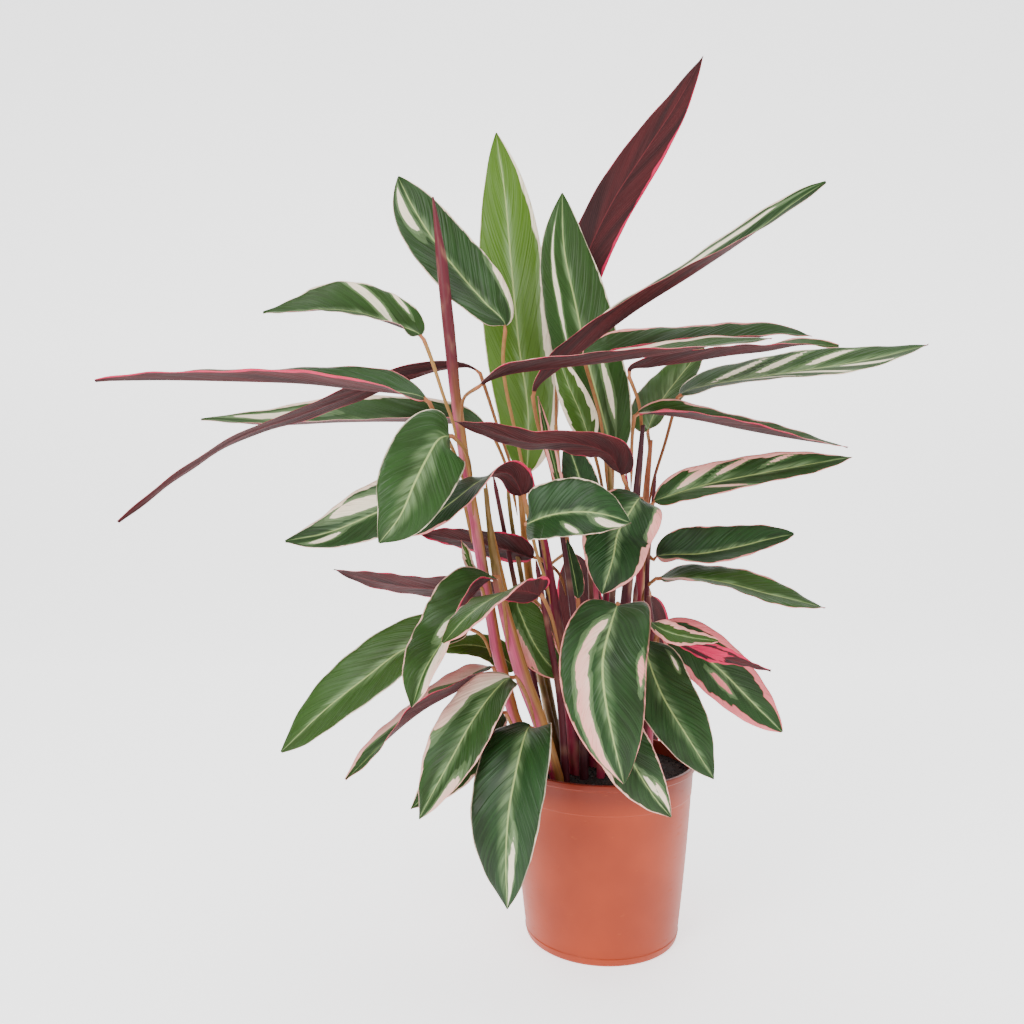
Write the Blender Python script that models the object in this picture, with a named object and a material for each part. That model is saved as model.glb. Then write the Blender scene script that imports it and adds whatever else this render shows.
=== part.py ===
"""A prayer plant with long streaked leaves, in its tapered plastic nursery pot.

Metres, +Z up. The origin is the middle of the pot's underside. Stems and leaves are placed as
they are seen from one viewpoint: two pixel places and a depth give each point, and widths,
thicknesses and the pot are real sizes.
"""

import math
from typing import NamedTuple

import bmesh
import bpy
from mathutils import Vector

# The viewpoint that the plant's points are read from: level, looking along +Y.
EYE = Vector((-0.101, -0.969, 0.472))
FOCAL_PX = 853.3
CENTRE_PX = 512

# Pot, a turned shell
POT_HEIGHT = 0.194
POT_BASE_RADIUS = 0.0845
POT_TOP_RADIUS = 0.1025
POT_LIP_RADIUS = 0.105
POT_LIP_HEIGHT = 0.007
POT_WALL = 0.0018
POT_FLOOR = 0.003
POT_SIDES = 40
COLLAR_BELOW_TOP = 0.033
COLLAR_GROOVE = 0.0006
FOOT_HEIGHT = 0.008
DRAIN_HOLES = 6
DRAIN_RADIUS = 0.0055
DRAIN_RING = 0.055

# Soil
SOIL_TOP = 0.180
SOIL_CROWN = 0.004
SEAT_GAP = 0.0003
PLANTED_DEPTH = 0.035

# Stems and leaves
STEM_SIDES = 10
STEM_RINGS = 9
PETIOLE_RADIUS = 0.0018
NECK_RADIUS = 0.0024
PETIOLE_SIDES = 5
HUG_LENGTH = 0.022
HUG_GAP = 0.0003
HUG_SPREAD = 0.0003
LEAD_RISE = 0.016
LEAD_OUT = 0.003
PETIOLE_STEP = 0.032
BLADE_THICKNESS = 0.0008
KEEL_DEPTH = 0.0022
TIP_HALF_WIDTH = 0.0009
WIDEST = 0.34  # share of the blade's length
BASE_ROUNDNESS = (3.0, 0.72)
TIP_ROUNDNESS = 0.9
LOBE_REACH = 0.2
FOLD_RUN_IN = 0.12
CUP = 0.10
WAVES = 9.5  # radians along the blade
ACROSS = (-1.0, -0.5, 0.0, 0.5, 1.0)
STATIONS = (0.0, 0.05, 0.15, 0.32, 0.52, 0.71, 0.87, 1.0)
SHORT_STATIONS = (0.0, 0.06, 0.20, 0.42, 0.66, 0.86, 1.0)
SHORT_LEAF = 0.13


class Stem(NamedTuple):
    """An upright stem: where it is seen from the soil up, and its radius at each place."""

    name: str
    seen: tuple
    radii: tuple
    colour: tuple = (0.35, 0.12, 0.16)


class Leaf(NamedTuple):
    """A leaf: the stem it grows from and at what height, and its petiole and midrib as seen.

    roll turns the top face from the viewer about the midrib, in degrees at base, middle and
    tip: 0 shows the top, 90 the edge, 180 the underside.
    """

    name: str
    stem: str
    height: float
    petiole: tuple
    rib: tuple
    half_width: float
    roll: tuple
    fold: float = 14.0
    wave: float = 0.002
    blunt: float = 2.1
    lobes: tuple = (0.3, 0.3)


BURGUNDY = (0.22, 0.05, 0.07)
TAN = (0.50, 0.30, 0.16)
ROSE = (0.60, 0.22, 0.32)

STEMS = (
    Stem("stem_left_spear", ((535, 774, -0.030), (516, 722, -0.034), (500, 665, -0.034), (488, 600, -0.033),
         (478, 540, -0.032), (466, 470, -0.030), (457, 410, -0.027), (449, 330, -0.024), (442, 262, -0.022),
         (433, 197, -0.020)),
         (0.0075, 0.0074, 0.0072, 0.0070, 0.0068, 0.0064, 0.0066, 0.0074, 0.0070, 0.0012), ROSE),
    Stem("stem_left_front", ((557, 778, -0.055), (540, 722, -0.055), (524, 680, -0.053), (508, 625, -0.050),
         (497, 580, -0.042), (490, 530, -0.030), (485, 488, -0.020)),
         (0.0080, 0.0090, 0.0095, 0.0085, 0.0060, 0.0040, 0.0022), TAN),
    Stem("stem_centre_front", ((577, 776, -0.022), (571, 710, -0.022), (562, 650, -0.021), (553, 595, -0.018),
         (545, 545, -0.012), (536, 500, -0.004), (529, 468, 0.002)),
         (0.0100, 0.0090, 0.0078, 0.0066, 0.0054, 0.0042, 0.0024), ROSE),
    Stem("stem_centre", ((593, 772, 0.004), (588, 700, 0.006), (580, 640, 0.010), (572, 590, 0.018),
         (564, 530, 0.028), (558, 470, 0.038), (556, 425, 0.046)),
         (0.0105, 0.0095, 0.0080, 0.0066, 0.0054, 0.0042, 0.0024), TAN),
    Stem("stem_right_front", ((613, 774, -0.012), (618, 705, -0.012), (622, 640, -0.012), (627, 590, -0.012),
         (632, 540, -0.010), (638, 480, -0.007), (643, 425, -0.004)),
         (0.0098, 0.0088, 0.0076, 0.0066, 0.0056, 0.0048, 0.0026), BURGUNDY),
    Stem("stem_right_back", ((630, 768, 0.026), (634, 705, 0.026), (637, 640, 0.025), (640, 580, 0.024),
         (644, 520, 0.023), (648, 470, 0.024), (651, 440, 0.030)),
         (0.0078, 0.0074, 0.0068, 0.0062, 0.0056, 0.0044, 0.0024), TAN),
    Stem("stem_back", ((603, 764, 0.048), (604, 700, 0.049), (606, 630, 0.048), (609, 560, 0.044),
         (611, 500, 0.038), (609, 462, 0.034)),
         (0.0100, 0.0090, 0.0076, 0.0062, 0.0050, 0.0026), BURGUNDY),
    Stem("stem_left_back", ((560, 766, 0.036), (548, 700, 0.040), (536, 630, 0.046), (527, 560, 0.056),
         (521, 500, 0.066), (517, 468, 0.072)),
         (0.0092, 0.0084, 0.0072, 0.0060, 0.0046, 0.0026), TAN),
    Stem("stem_right_edge", ((646, 772, -0.030), (648, 725, -0.032), (651, 670, -0.034), (651, 625, -0.036),
         (648, 596, -0.038)),
         (0.0070, 0.0066, 0.0058, 0.0048, 0.0026), BURGUNDY),
)

LEAVES = (
    Leaf("leaf_top_left", "stem_centre_front", 0.498,
         ((516, 432, 0.000), (508, 402, -0.002), (500, 352, 0.000)),
         ((505, 325, 0.000), (486, 304, 0.004), (464, 279, 0.012), (437, 245, 0.018), (414, 209, 0.022),
          (398, 177, 0.026)),
         0.038, (40, 24, 10), 24, blunt=3.2),
    Leaf("leaf_tallest_pale", "stem_left_back", 0.462,
         ((525, 500, 0.092),),
         ((527, 472, 0.110), (528, 410, 0.128), (519, 345, 0.142), (511, 262, 0.155), (505, 195, 0.165),
          (496, 133, 0.168)),
         0.045, (-18, -8, 2), 9, blunt=3.2),
    Leaf("leaf_tall_centre", "stem_back", 0.470,
         ((613, 488, 0.066),),
         ((612, 457, 0.085), (601, 410, 0.095), (588, 362, 0.102), (575, 302, 0.108), (564, 248, 0.108),
          (562, 193, 0.100)),
         0.044, (26, 10, 2), 15, blunt=3.0),
    Leaf("leaf_top_right", "stem_centre", 0.540,
         ((556, 388, 0.100), (560, 356, 0.134)),
         ((567, 330, 0.152), (585, 262, 0.160), (612, 203, 0.178), (645, 152, 0.188), (676, 105, 0.190),
          (703, 56, 0.184)),
         0.031, (165, 160, 150), 10, blunt=3.0),
    Leaf("leaf_slanting_right", "stem_centre", 0.512,
         ((538, 432, 0.018),),
         ((534, 391, 0.004), (558, 368, -0.006), (583, 349, -0.012), (634, 311, -0.014),
          (693, 274, -0.014), (750, 236, -0.014), (801, 198, -0.014), (826, 182, -0.014)),
         0.034, (-98, -86, -35), 42),
    Leaf("leaf_long_right_front", "stem_left_spear", 0.592,
         ((470, 398, -0.060),),
         ((482, 383, -0.082), (503, 374, -0.090), (536, 369, -0.096), (604, 362, -0.098),
          (678, 352, -0.094), (716, 345, -0.090), (772, 338, -0.084)),
         0.029, (-98, -85, -68), 33),
    Leaf("leaf_right_second", "stem_right_front", 0.552,
         ((642, 400, 0.018),),
         ((629, 371, 0.010), (650, 366, 0.010), (690, 361, 0.010), (729, 355, 0.012), (767, 351, 0.012),
          (802, 345, 0.012), (839, 346, 0.012)),
         0.027, (-100, -97, -60), 32),
    Leaf("leaf_right_third", "stem_back", 0.516,
         ((604, 430, 0.028), (594, 392, 0.036)),
         ((586, 357, 0.046), (612, 355, 0.052), (652, 351, 0.054), (700, 346, 0.054), (745, 340, 0.054),
          (780, 334, 0.054), (812, 336, 0.054)),
         0.036, (-64, -71, -62), 50),
    Leaf("leaf_centre_under", "stem_right_front", 0.482,
         ((629, 500, -0.044),),
         ((622, 474, -0.062), (608, 452, -0.084), (570, 442, -0.104), (530, 442, -0.104),
          (490, 431, -0.098), (455, 421, -0.092)),
         0.029, (128, 112, 108), 10, blunt=3.0),
    Leaf("leaf_left_front", "stem_left_spear", 0.490,
         ((473, 456, -0.058), (462, 440, -0.080)),
         ((449, 436, -0.108), (438, 440, -0.126), (427, 458, -0.138), (415, 482, -0.146),
          (400, 516, -0.152), (379, 543, -0.156)),
         0.038, (0, 0, 4), 10, blunt=2.4, lobes=(0.5, 0.8)),
    Leaf("leaf_twisted_left", "stem_centre_front", 0.392,
         ((540, 572, -0.044), (530, 524, -0.048)),
         ((523, 494, -0.058), (508, 472, -0.070), (482, 480, -0.082), (455, 500, -0.090),
          (430, 519, -0.095), (405, 537, -0.098)),
         0.031, (150, 62, 42), 12),
    Leaf("leaf_left_behind", "stem_left_spear", 0.460,
         ((463, 492, -0.046),),
         ((454, 480, -0.050), (426, 490, -0.050), (378, 512, -0.054), (330, 532, -0.060),
          (285, 541, -0.064)),
         0.036, (42, 34, 34), 18),
    Leaf("leaf_left_under", "stem_left_front", 0.368,
         ((506, 602, -0.026),),
         ((500, 592, -0.010), (470, 588, 0.004), (425, 588, 0.012), (380, 582, 0.016),
          (334, 569, 0.016)),
         0.029, (122, 116, 112), 10),
    Leaf("leaf_hooked_left", "stem_left_front", 0.346,
         ((505, 598, -0.066), (500, 578, -0.072)),
         ((493, 576, -0.076), (476, 590, -0.084), (459, 617, -0.098), (442, 643, -0.112),
          (424, 672, -0.138), (412, 707, -0.142)),
         0.039, (60, 56, 20), 52),
    Leaf("leaf_turned_left", "stem_centre_front", 0.318,
         ((550, 608, -0.062),),
         ((539, 594, -0.090), (514, 590, -0.122), (490, 600, -0.148), (466, 618, -0.166),
          (443, 643, -0.174)),
         0.031, (148, 74, 40), 12),
    Leaf("leaf_low_left_broad", "stem_left_spear", 0.336,
         ((482, 634, -0.044),),
         ((468, 628, -0.048), (438, 634, -0.054), (400, 652, -0.060), (368, 676, -0.066),
          (325, 710, -0.070), (281, 752, -0.070)),
         0.036, (44, 40, 34), 22, blunt=3.0),
    Leaf("leaf_low_left_narrow", "stem_left_spear", 0.285,
         ((496, 672, -0.050),),
         ((490, 666, -0.058), (460, 688, -0.062), (424, 709, -0.068), (392, 735, -0.072),
          (346, 780, -0.074)),
         0.025, (70, 80, 40), 44),
    Leaf("leaf_low_left_front", "stem_left_front", 0.262,
         ((526, 680, -0.084),),
         ((510, 678, -0.094), (494, 692, -0.106), (472, 722, -0.124), (452, 758, -0.140),
          (431, 796, -0.150), (419, 819, -0.152)),
         0.035, (46, 34, 24), 24),
    Leaf("leaf_low_left_behind", "stem_left_spear", 0.232,
         ((508, 716, -0.058),),
         ((502, 712, -0.070), (486, 728, -0.078), (462, 760, -0.090), (436, 786, -0.100),
          (411, 809, -0.104)),
         0.026, (40, 30, 24), 12),
    Leaf("leaf_front_left_pot", "stem_left_front", 0.218,
         ((536, 734, -0.096),),
         ((530, 727, -0.112), (525, 736, -0.130), (517, 768, -0.156), (509, 812, -0.172),
          (506, 860, -0.180), (507, 909, -0.182)),
         0.042, (32, 32, 20), 22),
    Leaf("leaf_front_centre", "stem_right_front", 0.336,
         ((619, 618, -0.060), (619, 602, -0.090)),
         ((617, 606, -0.112), (611, 624, -0.134), (603, 658, -0.156), (604, 690, -0.166),
          (612, 734, -0.176), (624, 784, -0.178)),
         0.042, (0, 0, -4), 12, blunt=2.3, lobes=(1.8, 0.4)),
    Leaf("leaf_right_of_centre", "stem_right_edge", 0.272,
         ((646, 640, -0.054),),
         ((644, 641, -0.066), (650, 665, -0.084), (663, 697, -0.102), (688, 738, -0.120),
          (714, 779, -0.128)),
         0.036, (-24, -24, -20), 20),
    Leaf("leaf_front_right_pot", "stem_right_front", 0.234,
         ((610, 704, -0.070),),
         ((612, 712, -0.098), (620, 738, -0.122), (637, 770, -0.136), (655, 798, -0.142),
          (671, 817, -0.142)),
         0.029, (18, 18, 14), 20),
    Leaf("leaf_pink_right", "stem_right_edge", 0.328,
         ((655, 634, -0.034),),
         ((661, 630, -0.028), (686, 643, -0.028), (719, 669, -0.036), (752, 702, -0.042),
          (782, 732, -0.044)),
         0.034, (-40, -28, -24), 12, blunt=2.6),
    Leaf("leaf_right_narrow", "stem_right_edge", 0.362,
         ((646, 606, -0.064), (647, 610, -0.092)),
         ((651, 622, -0.110), (668, 632, -0.118), (693, 638, -0.122), (718, 641, -0.124)),
         0.013, (-46, -40, -40), 12),
    Leaf("leaf_right_under", "stem_right_edge", 0.326,
         ((655, 622, -0.054), (664, 627, -0.076)),
         ((674, 639, -0.092), (698, 648, -0.102), (733, 660, -0.107), (771, 670, -0.109)),
         0.015, (-130, -122, -118), 10),
    Leaf("leaf_hooked_right", "stem_right_back", 0.378,
         ((646, 588, 0.002), (652, 580, -0.008)),
         ((662, 578, -0.014), (692, 578, -0.020), (726, 583, -0.026), (764, 593, -0.030),
          (798, 601, -0.032), (825, 608, -0.032)),
         0.030, (-75, -60, -56), 24),
    Leaf("leaf_right_mid", "stem_right_back", 0.424,
         ((650, 562, 0.006),),
         ((657, 556, 0.002), (700, 554, 0.006), (738, 547, 0.010), (766, 540, 0.010),
          (794, 534, 0.010)),
         0.034, (-46, -42, -36), 38),
    Leaf("leaf_right_striped", "stem_right_back", 0.476,
         ((652, 504, 0.004),),
         ((655, 501, 0.000), (675, 494, -0.002), (702, 486, -0.002), (738, 478, 0.000),
          (790, 468, 0.002), (852, 457, 0.002)),
         0.029, (-46, -45, -45), 28),
    Leaf("leaf_right_drooping", "stem_right_front", 0.520,
         ((629, 440, -0.006), (631, 424, -0.004)),
         ((639, 413, 0.000), (673, 415, 0.002), (702, 420, 0.004), (738, 428, 0.004), (790, 438, 0.004),
          (848, 447, 0.004)),
         0.029, (-78, -80, -84), 38),
    Leaf("leaf_far_right", "stem_right_back", 0.500,
         ((664, 452, 0.044), (673, 410, 0.060)),
         ((681, 394, 0.070), (706, 386, 0.076), (748, 379, 0.081), (793, 372, 0.083), (840, 365, 0.084),
          (885, 356, 0.084), (928, 345, 0.084)),
         0.031, (-62, -55, -50), 30, blunt=3.0),
    Leaf("leaf_right_upright", "stem_right_back", 0.528,
         ((650, 440, 0.070),),
         ((648, 430, 0.092), (661, 402, 0.116), (682, 374, 0.128), (704, 346, 0.132)),
         0.034, (-40, -38, -30), 26),
    Leaf("leaf_upper_left", "stem_left_spear", 0.566,
         ((449, 418, -0.050), (440, 385, -0.056), (431, 354, -0.050)),
         ((420, 335, -0.046), (405, 328, -0.044), (382, 320, -0.046), (358, 313, -0.050),
          (327, 310, -0.054), (295, 312, -0.056), (263, 312, -0.058)),
         0.036, (50, 56, 64), 46, blunt=2.4),
    Leaf("leaf_longest_left", "stem_left_spear", 0.518,
         ((443, 432, -0.072), (433, 408, -0.092)),
         ((424, 398, -0.100), (405, 393, -0.104), (363, 389, -0.108), (305, 383, -0.110),
          (235, 381, -0.110), (160, 380, -0.108), (95, 381, -0.106)),
         0.034, (62, 90, 92), 38),
    Leaf("leaf_left_middle", "stem_left_back", 0.490,
         ((500, 446, 0.060),),
         ((486, 428, 0.058), (440, 422, 0.060), (392, 421, 0.062), (340, 422, 0.062), (270, 425, 0.060),
          (201, 419, 0.056)),
         0.036, (58, 62, 62), 48, blunt=3.0),
    Leaf("leaf_left_drooping", "stem_left_back", 0.522,
         ((498, 430, 0.040), (487, 392, 0.022)),
         ((476, 369, 0.016), (450, 366, 0.014), (410, 374, 0.006), (363, 391, -0.006),
          (300, 415, -0.016), (240, 437, -0.024), (180, 475, -0.028), (118, 522, -0.032)),
         0.020, (118, 112, 116), 10, blunt=1.5),
    Leaf("leaf_centre_face_on", "stem_centre_front", 0.430,
         ((534, 520, -0.076),),
         ((527, 524, -0.122), (548, 516, -0.136), (578, 512, -0.148), (606, 515, -0.154),
          (631, 523, -0.156)),
         0.037, (-40, -30, -30), 28, lobes=(0.0, 0.0)),
    Leaf("leaf_centre_hanging", "stem_right_front", 0.436,
         ((642, 506, -0.044),),
         ((640, 498, -0.064), (630, 512, -0.082), (618, 533, -0.092), (613, 558, -0.098),
          (602, 594, -0.100)),
         0.036, (10, 4, 0), 12, blunt=3.0),
    Leaf("leaf_behind_stems", "stem_centre", 0.398,
         ((556, 572, 0.010), (544, 560, 0.008)),
         ((533, 557, 0.008), (500, 547, 0.004), (462, 540, 0.002), (420, 533, 0.000)),
         0.028, (128, 122, 118), 10),
    Leaf("leaf_bud", "stem_left_spear", 0.386,
         ((483, 590, -0.050),),
         ((476, 578, -0.054), (470, 566, -0.056), (466, 553, -0.056), (461, 540, -0.055)),
         0.006, (20, 20, 20), 20),
    Leaf("leaf_olive_behind", "stem_left_back", 0.288,
         ((524, 672, 0.014),),
         ((516, 668, 0.006), (492, 650, 0.000), (466, 645, -0.002), (438, 650, -0.004)),
         0.017, (36, 30, 26), 12),
    Leaf("leaf_behind_left_stem", "stem_centre_front", 0.362,
         ((532, 588, -0.028),),
         ((518, 600, -0.030), (522, 617, -0.033), (534, 643, -0.036), (547, 662, -0.038),
          (567, 680, -0.044)),
         0.024, (0, 0, 0), 10),
    Leaf("leaf_dark_upright", "stem_centre", 0.346,
         ((578, 606, -0.004),),
         ((578, 598, -0.006), (575, 580, -0.004), (571, 560, -0.001), (567, 540, 0.002)),
         0.010, (10, 10, 10), 14),
    Leaf("leaf_inner_upright", "stem_back", 0.436,
         ((597, 520, 0.026),),
         ((590, 508, 0.014), (582, 486, 0.008), (575, 464, 0.006), (566, 440, 0.006)),
         0.020, (0, 0, 0), 12),
    Leaf("leaf_inner_rolled", "stem_centre", 0.456,
         ((566, 510, 0.016),),
         ((563, 500, 0.006), (553, 460, -0.004), (545, 428, -0.006), (538, 396, -0.006)),
         0.007, (20, 10, 10), 30),
    Leaf("leaf_inner_pale", "stem_back", 0.474,
         ((598, 462, 0.050),),
         ((590, 440, 0.058), (580, 412, 0.064), (568, 384, 0.068), (556, 352, 0.070)),
         0.019, (10, 0, 0), 12),
    Leaf("leaf_rear_low", "stem_left_back", 0.372,
         ((552, 562, 0.100),),
         ((566, 556, 0.130), (580, 600, 0.170), (590, 680, 0.200), (596, 760, 0.212),
          (598, 830, 0.214)),
         0.034, (160, 170, 175), 10),
    Leaf("leaf_rear_right", "stem_right_back", 0.392,
         ((648, 590, 0.070),),
         ((650, 596, 0.100), (652, 640, 0.140), (648, 700, 0.165), (642, 755, 0.176),
          (634, 805, 0.178)),
         0.026, (168, 172, 176), 10),
)


def seen_at(px, py, depth):
    """The point that shows at a pixel place, at this depth along Y."""
    reach = (depth - EYE.y) / FOCAL_PX
    return Vector((EYE.x + (px - CENTRE_PX) * reach, depth, EYE.z - (py - CENTRE_PX) * reach))


def curve_point(points, place):
    """A point on the smooth curve through these points, at place 0 to len(points) - 1."""
    last = len(points) - 1
    i = min(int(place), last - 1)
    t = place - i
    start, end = points[i], points[i + 1]
    before = points[i - 1] if i else start
    after = points[i + 2] if i + 2 <= last else end
    span = (end - start).length
    leaving = (end - before).normalized() * span
    arriving = (after - start).normalized() * span
    bend = leaving * (t * (1 - t) ** 2) - arriving * (t * t * (1 - t))
    return start * ((1 + 2 * t) * (1 - t) ** 2) + end * (t * t * (3 - 2 * t)) + bend


def course(points, start, end, shares):
    """Points and unit tangents at these shares of the curve's length between two of its places."""
    fine = 60
    places = [start + (end - start) * i / fine for i in range(fine + 1)]
    line = [curve_point(points, place) for place in places]
    run = [0.0]
    for one, other in zip(line, line[1:]):
        run.append(run[-1] + (other - one).length)
    found = []
    for share in shares:
        target = share * run[-1]
        k = min(max(next((i for i, r in enumerate(run) if r >= target), fine), 1), fine)
        part = (target - run[k - 1]) / max(run[k] - run[k - 1], 1e-9)
        found.append((line[k - 1].lerp(line[k], part), (line[k] - line[k - 1]).normalized()))
    return found, run[-1]


def even(count):
    return [i / count for i in range(count + 1)]


def blend(values, s):
    """Three values at 0, 0.5 and 1, met by straight runs."""
    first, middle, last = values
    return first + (middle - first) * s * 2 if s < 0.5 else middle + (last - middle) * (s - 0.5) * 2


def blade_half_width(leaf, s):
    """The outline: a round base, widest before the middle, drawn out to a tip."""
    rise = 1 - (1 - min(s / WIDEST, 1)) ** BASE_ROUNDNESS[0]
    fall = 1 - (max(s - WIDEST, 0) / (1 - WIDEST)) ** leaf.blunt
    full = leaf.half_width * rise ** BASE_ROUNDNESS[1] * fall**TIP_ROUNDNESS
    return max(full, NECK_RADIUS * (1 - s) + TIP_HALF_WIDTH * s)


def blade_frame(leaf, point, tangent, s):
    """The blade's normal and sideways direction at a point of its midrib."""
    to_eye = (EYE - point).normalized()
    facing = (to_eye - tangent * to_eye.dot(tangent)).normalized()
    turned = math.radians(blend(leaf.roll, s))
    side = tangent.cross(facing)
    normal = facing * math.cos(turned) + side * math.sin(turned)
    return normal, tangent.cross(normal)


def blade_ring(leaf, point, tangent, s):
    """One cross-section: the top from left to right, then the underside from right to left."""
    normal, side = blade_frame(leaf, point, tangent, s)
    half = blade_half_width(leaf, s)
    fold = math.radians(leaf.fold) * min(s / FOLD_RUN_IN, 1) * (1 - 0.4 * s)
    keel = KEEL_DEPTH * (1 - s) ** 2
    top, under = [], []
    for u in ACROSS:
        out = abs(u)
        lift = half * (math.sin(fold) * out - CUP * out * out)
        start = leaf.half_width * 900 + (1.9 if u > 0 else 0.0)
        lift += leaf.wave * out * out * math.sin(WAVES * s + start)
        back = half * out**1.5 * leaf.lobes[0 if u < 0 else 1] * max(1 - s / LOBE_REACH, 0)
        centre = point + side * (half * u * math.cos(fold)) + normal * lift - tangent * back
        skin = (normal * math.cos(fold) - side * (math.copysign(math.sin(fold), u) if u else 0)).normalized()
        top.append(centre + skin * (BLADE_THICKNESS / 2))
        under.append(centre - skin * (BLADE_THICKNESS / 2 + (keel if u == 0 else 0)))
    return top + under[::-1]


def round_ring(point, normal, side, radius, sides, start=0.0):
    """A ring of points round a petiole or a stem."""
    ring = []
    for i in range(sides):
        angle = start - math.tau * i / sides
        ring.append(point + side * (radius * math.cos(angle)) + normal * (radius * math.sin(angle)))
    return ring


class Skin:
    """A closed surface built ring by ring."""

    def __init__(self):
        self.points = []
        self.faces = []
        self.last = None

    def add(self, ring):
        first = len(self.points)
        self.points += ring
        here = list(range(first, first + len(ring)))
        if self.last is None:
            self.cap(here, backwards=False)
        elif len(self.last) == len(here):
            self.join(self.last, here)
        else:
            self.widen(self.last, here)
        self.last = here

    def join(self, low, high):
        n = len(low)
        for j in range(n):
            k = (j + 1) % n
            if j < n // 2:
                self.faces += [(low[j], high[k], low[k]), (low[j], high[j], high[k])]
            else:
                self.faces += [(low[j], high[j], low[k]), (low[k], high[j], high[k])]

    def widen(self, low, high):
        """From a petiole's ring to a blade's, which has two points for each of its own."""
        n = len(low)
        for j in range(n):
            k = (j + 1) % n
            self.faces.append((low[j], high[2 * j], high[2 * j + 1]))
            self.faces += [(low[j], high[2 * j + 1], low[k]), (low[k], high[2 * j + 1], high[2 * k])]

    def cap(self, ring, backwards):
        middle = len(self.points)
        self.points.append(sum((self.points[i] for i in ring), Vector()) / len(ring))
        for j, i in enumerate(ring):
            k = ring[(j + 1) % len(ring)]
            self.faces.append((k, i, middle) if backwards else (i, k, middle))

    def close(self):
        """Ends the skin. A blade's tip is zipped across, so that its faces stay paired."""
        ring = self.last
        half = len(ring) // 2
        for j in range(half - 1):
            a, b, c, d = ring[j], ring[j + 1], ring[-2 - j], ring[-1 - j]
            self.faces += [(a, c, b), (a, d, c)]


def outward(mesh):
    """Turns every face outwards."""
    form = bmesh.new()
    form.from_mesh(mesh)
    bmesh.ops.recalc_face_normals(form, faces=form.faces)
    if form.calc_volume(signed=True) < 0:
        bmesh.ops.reverse_faces(form, faces=form.faces)
    form.to_mesh(mesh)
    form.free()


def material(name, colour, roughness):
    made = bpy.data.materials.new(name)
    made.use_nodes = True
    shader = made.node_tree.nodes["Principled BSDF"]
    shader.inputs["Base Color"].default_value = (*colour, 1)
    shader.inputs["Roughness"].default_value = roughness
    return made


def add_object(name, points, faces, finish):
    mesh = bpy.data.meshes.new(name)
    mesh.from_pydata([tuple(point) for point in points], [], faces)
    mesh.materials.append(finish)
    outward(mesh)
    mesh.shade_smooth()
    made = bpy.data.objects.new(name, mesh)
    bpy.context.collection.objects.link(made)
    return made


def stem_line(stem):
    """The stem's axis and radius, ring by ring: straight down in the soil, then as seen."""
    seen = [seen_at(*place) for place in stem.seen]
    found, _ = course(seen, 0, len(seen) - 1, even(STEM_RINGS))
    line = [point for point, _ in found]
    radii = []
    for i in range(STEM_RINGS + 1):
        place = i / STEM_RINGS * (len(stem.radii) - 1)
        k = min(int(place), len(stem.radii) - 2)
        radii.append(stem.radii[k] + (stem.radii[k + 1] - stem.radii[k]) * (place - k))
    base = Vector((line[0].x, line[0].y, SOIL_TOP + SOIL_CROWN + 0.004))
    line[0] = base
    line.insert(0, Vector((base.x, base.y, SOIL_TOP - PLANTED_DEPTH)))
    return line, [radii[0], *radii]


def stem_place(stem, height):
    """The axis point and the radius of a stem at a height."""
    line, radii = stem_line(stem)
    for i in range(len(line) - 1):
        if line[i].z <= height <= line[i + 1].z:
            share = (height - line[i].z) / (line[i + 1].z - line[i].z)
            return line[i].lerp(line[i + 1], share), radii[i] + (radii[i + 1] - radii[i]) * share
    return line[-1], radii[-1]


def build_stem(stem):
    line, radii = stem_line(stem)
    skin = Skin()
    for point, radius in zip(line, radii):
        skin.add(round_ring(point, Vector((0, 1, 0)), Vector((1, 0, 0)), radius, STEM_SIDES))
    skin.cap(skin.last, backwards=True)
    finish = material(stem.name, stem.colour, 0.45)
    return add_object(stem.name, skin.points, skin.faces, finish)


def leaf_line(leaf, stems):
    """The leaf's course: against its stem, along the petiole, and down the midrib."""
    petiole = [seen_at(*place) for place in leaf.petiole]
    rib = [seen_at(*place) for place in leaf.rib]
    stem = stems[leaf.stem]
    towards = (petiole + rib)[0]
    hugging = []
    for rise, clear in ((-HUG_LENGTH, 0.0), (0.0, HUG_SPREAD), (LEAD_RISE, LEAD_OUT)):
        axis, radius = stem_place(stem, leaf.height + rise)
        out = (towards - axis).to_2d().normalized()
        hugging.append(axis + out.to_3d() * (radius + PETIOLE_RADIUS + HUG_GAP + clear))
    return hugging + petiole + rib, len(hugging) + len(petiole)


def build_leaf(leaf, stems, finish):
    line, neck = leaf_line(leaf, stems)
    _, petiole_length = course(line, 0, neck, (0, 1))
    steps = max(4, round(petiole_length / PETIOLE_STEP))
    stalk, _ = course(line, 0, neck, even(steps))
    _, blade_length = course(line, neck, len(line) - 1, (0, 1))
    shares = SHORT_STATIONS if blade_length < SHORT_LEAF else STATIONS
    blade, _ = course(line, neck, len(line) - 1, shares)

    skin = Skin()
    neck_normal, _ = blade_frame(leaf, *blade[0], 0)
    normals = []
    normal = neck_normal
    for point, tangent in reversed(stalk[:-1]):
        normal = (normal - tangent * normal.dot(tangent)).normalized()
        normals.append(normal)
    for i, ((point, tangent), normal) in enumerate(zip(stalk[:-1], reversed(normals))):
        radius = PETIOLE_RADIUS + (NECK_RADIUS - PETIOLE_RADIUS) * (i / steps) ** 3
        side = tangent.cross(normal)
        skin.add(round_ring(point, normal, side, radius, PETIOLE_SIDES, start=math.radians(144)))
    for (point, tangent), s in zip(blade, shares):
        skin.add(blade_ring(leaf, point, tangent, s))
    skin.close()
    return add_object(leaf.name, skin.points, skin.faces, finish)


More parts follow.
